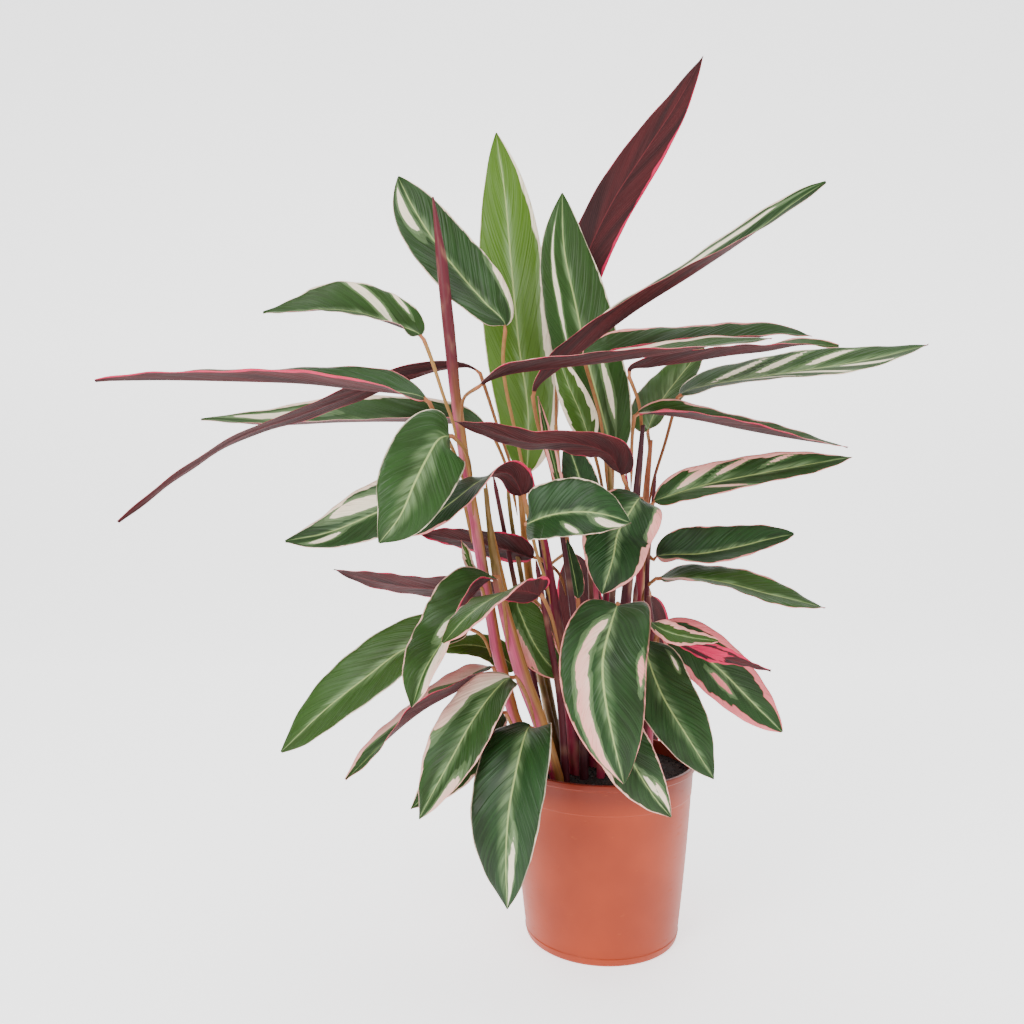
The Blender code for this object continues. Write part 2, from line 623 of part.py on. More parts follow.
def turned(name, profile, sides, finish):
    """A closed solid of revolution. The profile runs from the axis round to the axis again."""
    points, faces = [], []
    rings = []
    for radius, height in profile:
        if radius == 0:
            rings.append([len(points)])
            points.append(Vector((0, 0, height)))
            continue
        rings.append(list(range(len(points), len(points) + sides)))
        for i in range(sides):
            angle = math.tau * i / sides
            points.append(Vector((radius * math.cos(angle), radius * math.sin(angle), height)))
    for low, high in zip(rings, rings[1:]):
        for i in range(sides):
            k = (i + 1) % sides
            if len(low) == 1:
                faces.append((low[0], high[k], high[i]))
            elif len(high) == 1:
                faces.append((low[i], low[k], high[0]))
            else:
                faces.append((low[i], low[k], high[k], high[i]))
    return add_object(name, points, faces, finish)


def wall_radius(height):
    """The outside of the pot's wall, a little steeper near its foot."""
    share = height / POT_HEIGHT
    return POT_BASE_RADIUS + (POT_TOP_RADIUS - POT_BASE_RADIUS) * (share + 0.32 * share * (1 - share))


def cut_round_holes(target, places, sides, bottom, top):
    """Takes upright prisms out of a solid. Each place is (x, y, radius) and its own bottom."""
    points, faces = [], []
    for x, y, radius in places:
        first = len(points)
        for height in (bottom, top):
            for i in range(sides):
                angle = -math.tau * i / sides
                points.append(Vector((x + radius * math.cos(angle), y + radius * math.sin(angle), height)))
        low = list(range(first, first + sides))
        high = list(range(first + sides, first + 2 * sides))
        faces += [tuple(low), tuple(reversed(high))]
        faces += [(low[i], high[i], high[(i + 1) % sides], low[(i + 1) % sides]) for i in range(sides)]
    cutter = add_object(target.name + "_cutter", points, faces, target.data.materials[0])
    cutter.hide_render = True
    cutter.display_type = "WIRE"
    cut = target.modifiers.new("holes", "BOOLEAN")
    cut.object = cutter
    cut.operation = "DIFFERENCE"


def build_pot():
    finish = material("pot", (0.64, 0.21, 0.12), 0.5)
    collar = POT_HEIGHT - COLLAR_BELOW_TOP
    lip = POT_HEIGHT - POT_LIP_HEIGHT
    outside = [(0, 0), (POT_BASE_RADIUS - 0.002, 0), (POT_BASE_RADIUS, 0.0015)]
    outside += [(wall_radius(FOOT_HEIGHT) + COLLAR_GROOVE, FOOT_HEIGHT),
                (wall_radius(FOOT_HEIGHT), FOOT_HEIGHT + 0.001)]
    outside += [(wall_radius(height), height) for height in (0.045, 0.090, 0.130)]
    outside += [(wall_radius(collar), collar), (wall_radius(collar) + COLLAR_GROOVE, collar + 0.001)]
    outside += [(wall_radius(lip) + COLLAR_GROOVE, lip), (POT_LIP_RADIUS, lip + 0.001)]
    outside += [(POT_LIP_RADIUS, POT_HEIGHT - 0.001), (POT_LIP_RADIUS - 0.001, POT_HEIGHT)]
    inside = [(wall_radius(POT_HEIGHT) - POT_WALL, POT_HEIGHT)]
    inside += [(wall_radius(height) - POT_WALL, height) for height in (0.130, 0.090, 0.045)]
    inside += [(wall_radius(POT_FLOOR) - POT_WALL, POT_FLOOR), (0, POT_FLOOR)]
    pot = turned("pot", outside + inside, POT_SIDES, finish)
    ring = [(math.tau * (i + 0.5) / DRAIN_HOLES) for i in range(DRAIN_HOLES)]
    places = [(DRAIN_RING * math.cos(a), DRAIN_RING * math.sin(a), DRAIN_RADIUS) for a in ring]
    cut_round_holes(pot, places, 12, -0.002, POT_FLOOR + 0.002)
    pot.data.set_sharp_from_angle(angle=math.radians(40))
    return pot


def build_soil(stems):
    finish = material("soil", (0.05, 0.032, 0.022), 0.95)
    inner = POT_WALL + SEAT_GAP
    heights = (POT_FLOOR + SEAT_GAP, 0.045, 0.090, 0.130)
    profile = [(0, heights[0])] + [(wall_radius(height) - inner, height) for height in heights]
    profile += [(wall_radius(SOIL_TOP) - inner, SOIL_TOP), (0.075, SOIL_TOP + SOIL_CROWN * 0.5)]
    profile += [(0.030, SOIL_TOP + SOIL_CROWN), (0, SOIL_TOP + SOIL_CROWN)]
    soil = turned("soil", profile, POT_SIDES, finish)
    places = []
    for stem in stems:
        line, radii = stem_line(stem)
        places.append((line[0].x, line[0].y, radii[0] + SEAT_GAP))
    bottom = SOIL_TOP - PLANTED_DEPTH - SEAT_GAP
    cut_round_holes(soil, places, STEM_SIDES, bottom, SOIL_TOP + 2 * SOIL_CROWN)
    return soil


def main():
    for old in list(bpy.data.objects):
        bpy.data.objects.remove(old, do_unlink=True)
    stems = {stem.name: stem for stem in STEMS}
    build_pot()
    build_soil(STEMS)
    for stem in STEMS:
        build_stem(stem)
    leaf_green = material("leaf", (0.09, 0.20, 0.09), 0.4)
    for leaf in LEAVES:
        finish = leaf_green.copy()
        finish.name = leaf.name
        build_leaf(leaf, stems, finish)


main()
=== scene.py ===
"""A potted prayer plant with long green leaves streaked cream and pink, burgundy beneath.

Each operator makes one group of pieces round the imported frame: pot, soil, stems, leaves and stage.
"""

import math
from typing import NamedTuple

import bmesh
import bpy
from bpy.props import FloatProperty, FloatVectorProperty, IntProperty, PointerProperty
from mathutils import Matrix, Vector


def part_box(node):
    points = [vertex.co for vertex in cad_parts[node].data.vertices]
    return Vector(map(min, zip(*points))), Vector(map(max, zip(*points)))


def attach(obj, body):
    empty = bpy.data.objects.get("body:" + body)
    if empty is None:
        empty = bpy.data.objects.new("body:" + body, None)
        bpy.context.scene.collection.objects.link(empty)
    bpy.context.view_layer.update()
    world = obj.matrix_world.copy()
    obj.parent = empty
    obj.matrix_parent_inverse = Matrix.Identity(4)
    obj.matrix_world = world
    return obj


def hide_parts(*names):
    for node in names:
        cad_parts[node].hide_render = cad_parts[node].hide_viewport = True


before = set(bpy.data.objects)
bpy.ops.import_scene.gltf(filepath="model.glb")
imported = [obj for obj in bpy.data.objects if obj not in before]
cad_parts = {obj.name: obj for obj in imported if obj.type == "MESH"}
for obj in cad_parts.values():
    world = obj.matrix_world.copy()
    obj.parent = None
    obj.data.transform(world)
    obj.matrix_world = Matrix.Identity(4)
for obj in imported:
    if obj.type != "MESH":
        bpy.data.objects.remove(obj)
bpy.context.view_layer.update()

bl_info = {
    "name": "Potted prayer plant",
    "version": (1, 0, 0),
    "blender": (4, 5, 0),
    "location": "3D View > Sidebar > Plant",
    "description": "Builds the pot, soil, stems and streaked leaves of a potted prayer plant",
    "category": "Add Mesh",
}

# The viewpoint that the plant's points are read from: level, looking along +Y.
EYE = Vector((-0.101, -0.969, 0.472))
FOCAL_PX = 853.3
CENTRE_PX = 512
FRAME_PX = 1024
SENSOR_MM = 36

# The frame's own sizes
POT_LOW, POT_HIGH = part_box("pot")
SOIL_LOW, SOIL_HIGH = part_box("soil")
POT_HEIGHT = POT_HIGH[2]
POT_LIP_RADIUS = POT_HIGH[0]
POT_TOP_RADIUS = POT_LIP_RADIUS - 0.0025
POT_BASE_RADIUS = 0.0845
POT_WALL = 0.0018
POT_FLOOR = 0.003
POT_LIP_HEIGHT = 0.007
COLLAR_BELOW_TOP = 0.033
COLLAR_GROOVE = 0.0006
FOOT_HEIGHT = 0.008
DRAIN_HOLES = 6
DRAIN_RADIUS = 0.0055
DRAIN_RING = 0.055
SOIL_CROWN = 0.004
SOIL_TOP = SOIL_HIGH[2] - SOIL_CROWN
SEAT_GAP = 0.0003
PLANTED_DEPTH = 0.035
POT_CORNER = 0.0009
WALL_RINGS_MM = range(20, 160, 10)
WALL_BULGE = 0.32
INNER_RING = 0.165
COLLAR_EDGE = 0.0008
LIP_EDGE = 0.0012
DRAIN_SIDES = 24
SOIL_SIDES = 96
SOIL_RINGS = 26
SOIL_RINGS_BELOW = (0.045, 0.090, 0.130)
SOIL_EDGE_DROP = 0.0005
SOIL_SLOPE = 1.7
LUMPS_BELOW_CROWN = 0.0011
LUMP_SIZE = 0.0007

# Stems, on the frame's courses with finer rings
FRAME_STEM_SIDES = 10
STEM_LEAD = 0.004
STEM_SIDES = 28
STEM_RINGS = 9
STEM_STEPS = 12
SHEATH_STEP = 0.05  # share of the radius
FLUTE = 0.012
FLUTES = 5
SEAM_TURN = 9  # radians a metre
STEM_PHASE = 1.7  # radians for each letter of its name
SIDE_TINT_WAVER = 11  # radians a metre
SIDE_TINT_SLOPE = 3.4
SIDE_TINT_START = 1.2
TOP_TINT_SLOPE = 6
TOP_TINT_START = 3.3
SHOOT_STEP = 0.006
SHOOT_SINK = 0.004
SHOOT_TIPS = 20  # the last twentieth tapers
SHOOT_TAPER = 0.75
SHOOT_PHASE = 0.37

# Leaves, on the frame's courses with finer rings
PETIOLE_RADIUS = 0.0018
FOOT_RADIUS = 0.25  # share of the petiole's
NECK_RADIUS = 0.0024
PETIOLE_SIDES = 17
PETIOLE_STEP = 0.007
FEWEST_PETIOLE_STEPS = 10
STALK_EASINGS = 30
HUG_LENGTH = 0.022
HUG_GAP = 0.0003
HUG_SPREAD = 0.0003
LEAD_RISE = 0.016
LEAD_OUT = 0.003
BLADE_THICKNESS = 0.0008
MARGIN_THINNING = 0.55
KEEL_DEPTH = 0.0022
KEEL_SPREAD = 0.0013
TIP_HALF_WIDTH = 0.0009
WIDEST = 0.34  # share of the blade's length
BASE_ROUNDNESS = (3.0, 0.72)
TIP_ROUNDNESS = 0.9
LOBE_REACH = 0.2
FOLD_RUN_IN = 0.12
FOLD_LOSS = 0.4  # by the tip
CUP = 0.10
WAVES = 9.5  # radians along the blade
WAVE_START = 900  # radians a metre of half width
WAVE_LAG = 1.9  # from one side to the other
RIPPLES = 41.0
RIPPLE = 0.0006
RIPPLE_RISE = 6  # full after a sixth of the blade
RIB_GROOVE = 0.0002
GROOVE_RISE = 8
BLADE_STEPS = 56
BLADE_CROWDING = 1.12
COURSE_STEPS = 60
FINE_COURSE_STEPS = 160
VEIN_SLANT = 0.30
SEED_STEP = 3.7  # from one leaf's pattern to the next

# Patterns along a blade: noise scales, and radians for the veins
BROAD_STREAKS = 7
STREAKS = 17
BANDS = 46
FLECKS = 90
FINE_VEINS = 240

# The stage
FLOOR_NEAR = -3.0
FLOOR_FAR = 1.6
FLOOR_HALF_WIDTH = 5.0
FLOOR_DROP = 0.0004
SWEEP_RADIUS = 1.2
SWEEP_STEPS = 16
WALL_TOP = 4.0
LIGHTS_AIM = Vector((0, 0, 0.5))
# Each light's name, place, diameter and share of the key's power
LIGHTS = (
    ("key", (-1.5, -1.9, 1.9), 1.6, 1.0),
    ("fill", (1.9, -1.7, 1.2), 1.8, 0.34),
    ("top", (0.2, 0.3, 2.6), 2.0, 0.5),
)


def srgb(red, green, blue):
    """A display colour of 0 to 255 as Blender's linear numbers."""
    scaled = [value / 255 for value in (red, green, blue)]
    return tuple(v / 12.92 if v <= 0.04045 else ((v + 0.055) / 1.055) ** 2.4 for v in scaled)


class Stem(NamedTuple):
    """An upright stem: its places as seen, its radii, and its colours on the left, right and top."""

    name: str
    seen: tuple
    radii: tuple
    tints: tuple


class Shoot(NamedTuple):
    """A thin shoot in the clump: its places as seen, its radii at the soil and at the top, its tint."""

    seen: tuple
    radii: tuple
    tint: tuple


class Leaf(NamedTuple):
    """A leaf's course, width and turn, with the same numbers as the frame's leaf."""

    name: str
    stem: str
    height: float
    petiole: tuple
    rib: tuple
    half_width: float
    roll: tuple
    fold: float = 14.0
    wave: float = 0.002
    blunt: float = 2.1
    lobes: tuple = (0.3, 0.3)


class Paint(NamedTuple):
    """A leaf's colours: tone from dark to yellow green, blush from cream to pink, pale feathering,
    how far the light margins reach in on each side, the light splashes as (across, reach, along,
    reach), and how red the stalk is."""

    tone: float = 0.15
    blush: float = 0.3
    pale: float = 0.5
    edges: tuple = (0.05, 0.05)
    splashes: tuple = ()
    stalk: float = 0.3


PINK = srgb(206, 84, 122)
ROSE = srgb(150, 34, 68)
TAN = srgb(170, 118, 58)
OLIVE = srgb(112, 92, 34)
BURGUNDY = srgb(84, 20, 34)
MAROON = srgb(56, 14, 24)

STEMS = (
    Stem("stem_left_spear", ((535, 774, -0.030), (516, 722, -0.034), (500, 665, -0.034), (488, 600, -0.033),
         (478, 540, -0.032), (466, 470, -0.030), (457, 410, -0.027), (449, 330, -0.024), (442, 262, -0.022),
         (433, 197, -0.020)),
         (0.0075, 0.0074, 0.0072, 0.0070, 0.0068, 0.0064, 0.0066, 0.0074, 0.0070, 0.0012),
         (PINK, TAN, srgb(98, 30, 42))),
    Stem("stem_left_front", ((557, 778, -0.055), (540, 722, -0.055), (524, 680, -0.053), (508, 625, -0.050),
         (497, 580, -0.042), (490, 530, -0.030), (485, 488, -0.020)),
         (0.0080, 0.0090, 0.0095, 0.0085, 0.0060, 0.0040, 0.0022), (PINK, TAN, OLIVE)),
    Stem("stem_centre_front", ((577, 776, -0.022), (571, 710, -0.022), (562, 650, -0.021), (553, 595, -0.018),
         (545, 545, -0.012), (536, 500, -0.004), (529, 468, 0.002)),
         (0.0100, 0.0090, 0.0078, 0.0066, 0.0054, 0.0042, 0.0024), (ROSE, BURGUNDY, ROSE)),
    Stem("stem_centre", ((593, 772, 0.004), (588, 700, 0.006), (580, 640, 0.010), (572, 590, 0.018),
         (564, 530, 0.028), (558, 470, 0.038), (556, 425, 0.046)),
         (0.0105, 0.0095, 0.0080, 0.0066, 0.0054, 0.0042, 0.0024), (BURGUNDY, ROSE, TAN)),
    Stem("stem_right_front", ((613, 774, -0.012), (618, 705, -0.012), (622, 640, -0.012), (627, 590, -0.012),
         (632, 540, -0.010), (638, 480, -0.007), (643, 425, -0.004)),
         (0.0098, 0.0088, 0.0076, 0.0066, 0.0056, 0.0048, 0.0026), (MAROON, BURGUNDY, MAROON)),
    Stem("stem_right_back", ((630, 768, 0.026), (634, 705, 0.026), (637, 640, 0.025), (640, 580, 0.024),
         (644, 520, 0.023), (648, 470, 0.024), (651, 440, 0.030)),
         (0.0078, 0.0074, 0.0068, 0.0062, 0.0056, 0.0044, 0.0024), (ROSE, TAN, srgb(150, 82, 48))),
    Stem("stem_back", ((603, 764, 0.048), (604, 700, 0.049), (606, 630, 0.048), (609, 560, 0.044),
         (611, 500, 0.038), (609, 462, 0.034)),
         (0.0100, 0.0090, 0.0076, 0.0062, 0.0050, 0.0026), (BURGUNDY, ROSE, OLIVE)),
    Stem("stem_left_back", ((560, 766, 0.036), (548, 700, 0.040), (536, 630, 0.046), (527, 560, 0.056),
         (521, 500, 0.066), (517, 468, 0.072)),
         (0.0092, 0.0084, 0.0072, 0.0060, 0.0046, 0.0026), (TAN, OLIVE, TAN)),
    Stem("stem_right_edge", ((646, 772, -0.030), (648, 725, -0.032), (651, 670, -0.034), (651, 625, -0.036),
         (648, 596, -0.038)),
         (0.0070, 0.0066, 0.0058, 0.0048, 0.0026), (BURGUNDY, ROSE, BURGUNDY)),
)

SHOOTS = (
    Shoot(((566, 772, -0.045), (560, 700, -0.042), (550, 640, -0.040), (536, 560, -0.034)),
          (0.0046, 0.0026), BURGUNDY),
    Shoot(((584, 776, -0.042), (583, 710, -0.042), (577, 640, -0.036), (566, 560, -0.026),
           (556, 500, -0.010)),
          (0.0052, 0.0026), MAROON),
    Shoot(((601, 778, -0.040), (600, 700, -0.040), (598, 640, -0.036), (594, 560, -0.022),
           (588, 505, -0.006)),
          (0.0050, 0.0018), ROSE),
    Shoot(((624, 776, -0.044), (628, 710, -0.044), (632, 650, -0.040), (636, 580, -0.030)),
          (0.0044, 0.0024), BURGUNDY),
    Shoot(((576, 770, 0.008), (564, 700, 0.014), (552, 620, 0.020), (540, 540, 0.028), (530, 470, 0.040)),
          (0.0056, 0.0018), MAROON),
    Shoot(((590, 766, 0.032), (592, 690, 0.034), (592, 610, 0.036), (588, 540, 0.036), (578, 440, 0.044)),
          (0.0060, 0.0018), BURGUNDY),
    Shoot(((619, 768, 0.040), (623, 690, 0.040), (626, 610, 0.040), (628, 540, 0.042), (626, 470, 0.052)),
          (0.0052, 0.0024), ROSE),
    Shoot(((549, 774, -0.020), (537, 720, -0.018), (521, 655, -0.018), (503, 580, -0.022),
           (490, 520, -0.020), (486, 480, -0.012)),
          (0.0046, 0.0020), TAN),
    Shoot(((562, 772, 0.024), (546, 700, 0.024), (532, 640, 0.022), (522, 580, 0.018), (512, 525, 0.014),
           (507, 482, 0.012)),
          (0.0044, 0.0022), OLIVE),
    Shoot(((552, 772, 0.006), (538, 700, 0.008), (526, 640, 0.010), (516, 590, 0.010), (505, 535, 0.010),
           (493, 474, 0.008)),
          (0.0040, 0.0024), BURGUNDY),
    Shoot(((640, 770, 0.000), (643, 700, 0.000), (646, 630, 0.000), (648, 560, 0.004), (656, 470, 0.010)),
          (0.0046, 0.0018), BURGUNDY),
    Shoot(((608, 772, 0.016), (609, 700, 0.018), (611, 620, 0.020), (616, 540, 0.022), (614, 490, 0.024)),
          (0.0056, 0.0026), MAROON),
)

LEAVES = (
    Leaf("leaf_top_left", "stem_centre_front", 0.498,
         ((516, 432, 0.000), (508, 402, -0.002), (500, 352, 0.000)),
         ((505, 325, 0.000), (486, 304, 0.004), (464, 279, 0.012), (437, 245, 0.018), (414, 209, 0.022),
          (398, 177, 0.026)),
         0.038, (40, 24, 10), 24, blunt=3.2),
    Leaf("leaf_tallest_pale", "stem_left_back", 0.462,
         ((525, 500, 0.092),),
         ((527, 472, 0.110), (528, 410, 0.128), (519, 345, 0.142), (511, 262, 0.155), (505, 195, 0.165),
          (496, 133, 0.168)),
         0.045, (-18, -8, 2), 9, blunt=3.2),
    Leaf("leaf_tall_centre", "stem_back", 0.470,
         ((613, 488, 0.066),),
         ((612, 457, 0.085), (601, 410, 0.095), (588, 362, 0.102), (575, 302, 0.108), (564, 248, 0.108),
          (562, 193, 0.100)),
         0.044, (26, 10, 2), 15, blunt=3.0),
    Leaf("leaf_top_right", "stem_centre", 0.540,
         ((556, 388, 0.100), (560, 356, 0.134)),
         ((567, 330, 0.152), (585, 262, 0.160), (612, 203, 0.178), (645, 152, 0.188), (676, 105, 0.190),
          (703, 56, 0.184)),
         0.031, (165, 160, 150), 10, blunt=3.0),
    Leaf("leaf_slanting_right", "stem_centre", 0.512,
         ((538, 432, 0.018),),
         ((534, 391, 0.004), (558, 368, -0.006), (583, 349, -0.012), (634, 311, -0.014),
          (693, 274, -0.014), (750, 236, -0.014), (801, 198, -0.014), (826, 182, -0.014)),
         0.034, (-98, -86, -35), 42),
    Leaf("leaf_long_right_front", "stem_left_spear", 0.592,
         ((470, 398, -0.060),),
         ((482, 383, -0.082), (503, 374, -0.090), (536, 369, -0.096), (604, 362, -0.098),
          (678, 352, -0.094), (716, 345, -0.090), (772, 338, -0.084)),
         0.029, (-98, -85, -68), 33),
    Leaf("leaf_right_second", "stem_right_front", 0.552,
         ((642, 400, 0.018),),
         ((629, 371, 0.010), (650, 366, 0.010), (690, 361, 0.010), (729, 355, 0.012), (767, 351, 0.012),
          (802, 345, 0.012), (839, 346, 0.012)),
         0.027, (-100, -97, -60), 32),
    Leaf("leaf_right_third", "stem_back", 0.516,
         ((604, 430, 0.028), (594, 392, 0.036)),
         ((586, 357, 0.046), (612, 355, 0.052), (652, 351, 0.054), (700, 346, 0.054), (745, 340, 0.054),
          (780, 334, 0.054), (812, 336, 0.054)),
         0.036, (-64, -71, -62), 50),
    Leaf("leaf_centre_under", "stem_right_front", 0.482,
         ((629, 500, -0.044),),
         ((622, 474, -0.062), (608, 452, -0.084), (570, 442, -0.104), (530, 442, -0.104),
          (490, 431, -0.098), (455, 421, -0.092)),
         0.029, (128, 112, 108), 10, blunt=3.0),
    Leaf("leaf_left_front", "stem_left_spear", 0.490,
         ((473, 456, -0.058), (462, 440, -0.080)),
         ((449, 436, -0.108), (438, 440, -0.126), (427, 458, -0.138), (415, 482, -0.146),
          (400, 516, -0.152), (379, 543, -0.156)),
         0.038, (0, 0, 4), 10, blunt=2.4, lobes=(0.5, 0.8)),
    Leaf("leaf_twisted_left", "stem_centre_front", 0.392,
         ((540, 572, -0.044), (530, 524, -0.048)),
         ((523, 494, -0.058), (508, 472, -0.070), (482, 480, -0.082), (455, 500, -0.090),
          (430, 519, -0.095), (405, 537, -0.098)),
         0.031, (150, 62, 42), 12),
    Leaf("leaf_left_behind", "stem_left_spear", 0.460,
         ((463, 492, -0.046),),
         ((454, 480, -0.050), (426, 490, -0.050), (378, 512, -0.054), (330, 532, -0.060),
          (285, 541, -0.064)),
         0.036, (42, 34, 34), 18),
    Leaf("leaf_left_under", "stem_left_front", 0.368,
         ((506, 602, -0.026),),
         ((500, 592, -0.010), (470, 588, 0.004), (425, 588, 0.012), (380, 582, 0.016),
          (334, 569, 0.016)),
         0.029, (122, 116, 112), 10),
    Leaf("leaf_hooked_left", "stem_left_front", 0.346,
         ((505, 598, -0.066), (500, 578, -0.072)),
         ((493, 576, -0.076), (476, 590, -0.084), (459, 617, -0.098), (442, 643, -0.112),
          (424, 672, -0.138), (412, 707, -0.142)),
         0.039, (60, 56, 20), 52),
    Leaf("leaf_turned_left", "stem_centre_front", 0.318,
         ((550, 608, -0.062),),
         ((539, 594, -0.090), (514, 590, -0.122), (490, 600, -0.148), (466, 618, -0.166),
          (443, 643, -0.174)),
         0.031, (148, 74, 40), 12),
    Leaf("leaf_low_left_broad", "stem_left_spear", 0.336,
         ((482, 634, -0.044),),
         ((468, 628, -0.048), (438, 634, -0.054), (400, 652, -0.060), (368, 676, -0.066),
          (325, 710, -0.070), (281, 752, -0.070)),
         0.036, (44, 40, 34), 22, blunt=3.0),
    Leaf("leaf_low_left_narrow", "stem_left_spear", 0.285,
         ((496, 672, -0.050),),
         ((490, 666, -0.058), (460, 688, -0.062), (424, 709, -0.068), (392, 735, -0.072),
          (346, 780, -0.074)),
         0.025, (70, 80, 40), 44),
    Leaf("leaf_low_left_front", "stem_left_front", 0.262,
         ((526, 680, -0.084),),
         ((510, 678, -0.094), (494, 692, -0.106), (472, 722, -0.124), (452, 758, -0.140),
          (431, 796, -0.150), (419, 819, -0.152)),
         0.035, (46, 34, 24), 24),
    Leaf("leaf_low_left_behind", "stem_left_spear", 0.232,
         ((508, 716, -0.058),),
         ((502, 712, -0.070), (486, 728, -0.078), (462, 760, -0.090), (436, 786, -0.100),
          (411, 809, -0.104)),
         0.026, (40, 30, 24), 12),
    Leaf("leaf_front_left_pot", "stem_left_front", 0.218,
         ((536, 734, -0.096),),
         ((530, 727, -0.112), (525, 736, -0.130), (517, 768, -0.156), (509, 812, -0.172),
          (506, 860, -0.180), (507, 909, -0.182)),
         0.042, (32, 32, 20), 22),
    Leaf("leaf_front_centre", "stem_right_front", 0.336,
         ((619, 618, -0.060), (619, 602, -0.090)),
         ((617, 606, -0.112), (611, 624, -0.134), (603, 658, -0.156), (604, 690, -0.166),
          (612, 734, -0.176), (624, 784, -0.178)),
         0.042, (0, 0, -4), 12, blunt=2.3, lobes=(1.8, 0.4)),
    Leaf("leaf_right_of_centre", "stem_right_edge", 0.272,
         ((646, 640, -0.054),),
         ((644, 641, -0.066), (650, 665, -0.084), (663, 697, -0.102), (688, 738, -0.120),
          (714, 779, -0.128)),
         0.036, (-24, -24, -20), 20),
    Leaf("leaf_front_right_pot", "stem_right_front", 0.234,
         ((610, 704, -0.070),),
         ((612, 712, -0.098), (620, 738, -0.122), (637, 770, -0.136), (655, 798, -0.142),
          (671, 817, -0.142)),
         0.029, (18, 18, 14), 20),
    Leaf("leaf_pink_right", "stem_right_edge", 0.328,
         ((655, 634, -0.034),),
         ((661, 630, -0.028), (686, 643, -0.028), (719, 669, -0.036), (752, 702, -0.042),
          (782, 732, -0.044)),
         0.034, (-40, -28, -24), 12, blunt=2.6),
    Leaf("leaf_right_narrow", "stem_right_edge", 0.362,
         ((646, 606, -0.064), (647, 610, -0.092)),
         ((651, 622, -0.110), (668, 632, -0.118), (693, 638, -0.122), (718, 641, -0.124)),
         0.013, (-46, -40, -40), 12),
    Leaf("leaf_right_under", "stem_right_edge", 0.326,
         ((655, 622, -0.054), (664, 627, -0.076)),
         ((674, 639, -0.092), (698, 648, -0.102), (733, 660, -0.107), (771, 670, -0.109)),
         0.015, (-130, -122, -118), 10),
    Leaf("leaf_hooked_right", "stem_right_back", 0.378,
         ((646, 588, 0.002), (652, 580, -0.008)),
         ((662, 578, -0.014), (692, 578, -0.020), (726, 583, -0.026), (764, 593, -0.030),
          (798, 601, -0.032), (825, 608, -0.032)),
         0.030, (-75, -60, -56), 24),
    Leaf("leaf_right_mid", "stem_right_back", 0.424,
         ((650, 562, 0.006),),
         ((657, 556, 0.002), (700, 554, 0.006), (738, 547, 0.010), (766, 540, 0.010),
          (794, 534, 0.010)),
         0.034, (-46, -42, -36), 38),
    Leaf("leaf_right_striped", "stem_right_back", 0.476,
         ((652, 504, 0.004),),
         ((655, 501, 0.000), (675, 494, -0.002), (702, 486, -0.002), (738, 478, 0.000),
          (790, 468, 0.002), (852, 457, 0.002)),
         0.029, (-46, -45, -45), 28),
    Leaf("leaf_right_drooping", "stem_right_front", 0.520,
         ((629, 440, -0.006), (631, 424, -0.004)),
         ((639, 413, 0.000), (673, 415, 0.002), (702, 420, 0.004), (738, 428, 0.004), (790, 438, 0.004),
          (848, 447, 0.004)),
         0.029, (-78, -80, -84), 38),
    Leaf("leaf_far_right", "stem_right_back", 0.500,
         ((664, 452, 0.044), (673, 410, 0.060)),
         ((681, 394, 0.070), (706, 386, 0.076), (748, 379, 0.081), (793, 372, 0.083), (840, 365, 0.084),
          (885, 356, 0.084), (928, 345, 0.084)),
         0.031, (-62, -55, -50), 30, blunt=3.0),
    Leaf("leaf_right_upright", "stem_right_back", 0.528,
         ((650, 440, 0.070),),
         ((648, 430, 0.092), (661, 402, 0.116), (682, 374, 0.128), (704, 346, 0.132)),
         0.034, (-40, -38, -30), 26),
    Leaf("leaf_upper_left", "stem_left_spear", 0.566,
         ((449, 418, -0.050), (440, 385, -0.056), (431, 354, -0.050)),
         ((420, 335, -0.046), (405, 328, -0.044), (382, 320, -0.046), (358, 313, -0.050),
          (327, 310, -0.054), (295, 312, -0.056), (263, 312, -0.058)),
         0.036, (50, 56, 64), 46, blunt=2.4),
    Leaf("leaf_longest_left", "stem_left_spear", 0.518,
         ((443, 432, -0.072), (433, 408, -0.092)),
         ((424, 398, -0.100), (405, 393, -0.104), (363, 389, -0.108), (305, 383, -0.110),
          (235, 381, -0.110), (160, 380, -0.108), (95, 381, -0.106)),
         0.034, (62, 90, 92), 38),
    Leaf("leaf_left_middle", "stem_left_back", 0.490,
         ((500, 446, 0.060),),
         ((486, 428, 0.058), (440, 422, 0.060), (392, 421, 0.062), (340, 422, 0.062), (270, 425, 0.060),
          (201, 419, 0.056)),
         0.036, (58, 62, 62), 48, blunt=3.0),
    Leaf("leaf_left_drooping", "stem_left_back", 0.522,
         ((498, 430, 0.040), (487, 392, 0.022)),
         ((476, 369, 0.016), (450, 366, 0.014), (410, 374, 0.006), (363, 391, -0.006),
          (300, 415, -0.016), (240, 437, -0.024), (180, 475, -0.028), (118, 522, -0.032)),
         0.020, (118, 112, 116), 10, blunt=1.5),
    Leaf("leaf_centre_face_on", "stem_centre_front", 0.430,
         ((534, 520, -0.076),),
         ((527, 524, -0.122), (548, 516, -0.136), (578, 512, -0.148), (606, 515, -0.154),
          (631, 523, -0.156)),
         0.037, (-40, -30, -30), 28, lobes=(0.0, 0.0)),
    Leaf("leaf_centre_hanging", "stem_right_front", 0.436,
         ((642, 506, -0.044),),
         ((640, 498, -0.064), (630, 512, -0.082), (618, 533, -0.092), (613, 558, -0.098),
          (602, 594, -0.100)),
         0.036, (10, 4, 0), 12, blunt=3.0),
    Leaf("leaf_behind_stems", "stem_centre", 0.398,
         ((556, 572, 0.010), (544, 560, 0.008)),
         ((533, 557, 0.008), (500, 547, 0.004), (462, 540, 0.002), (420, 533, 0.000)),
         0.028, (128, 122, 118), 10),
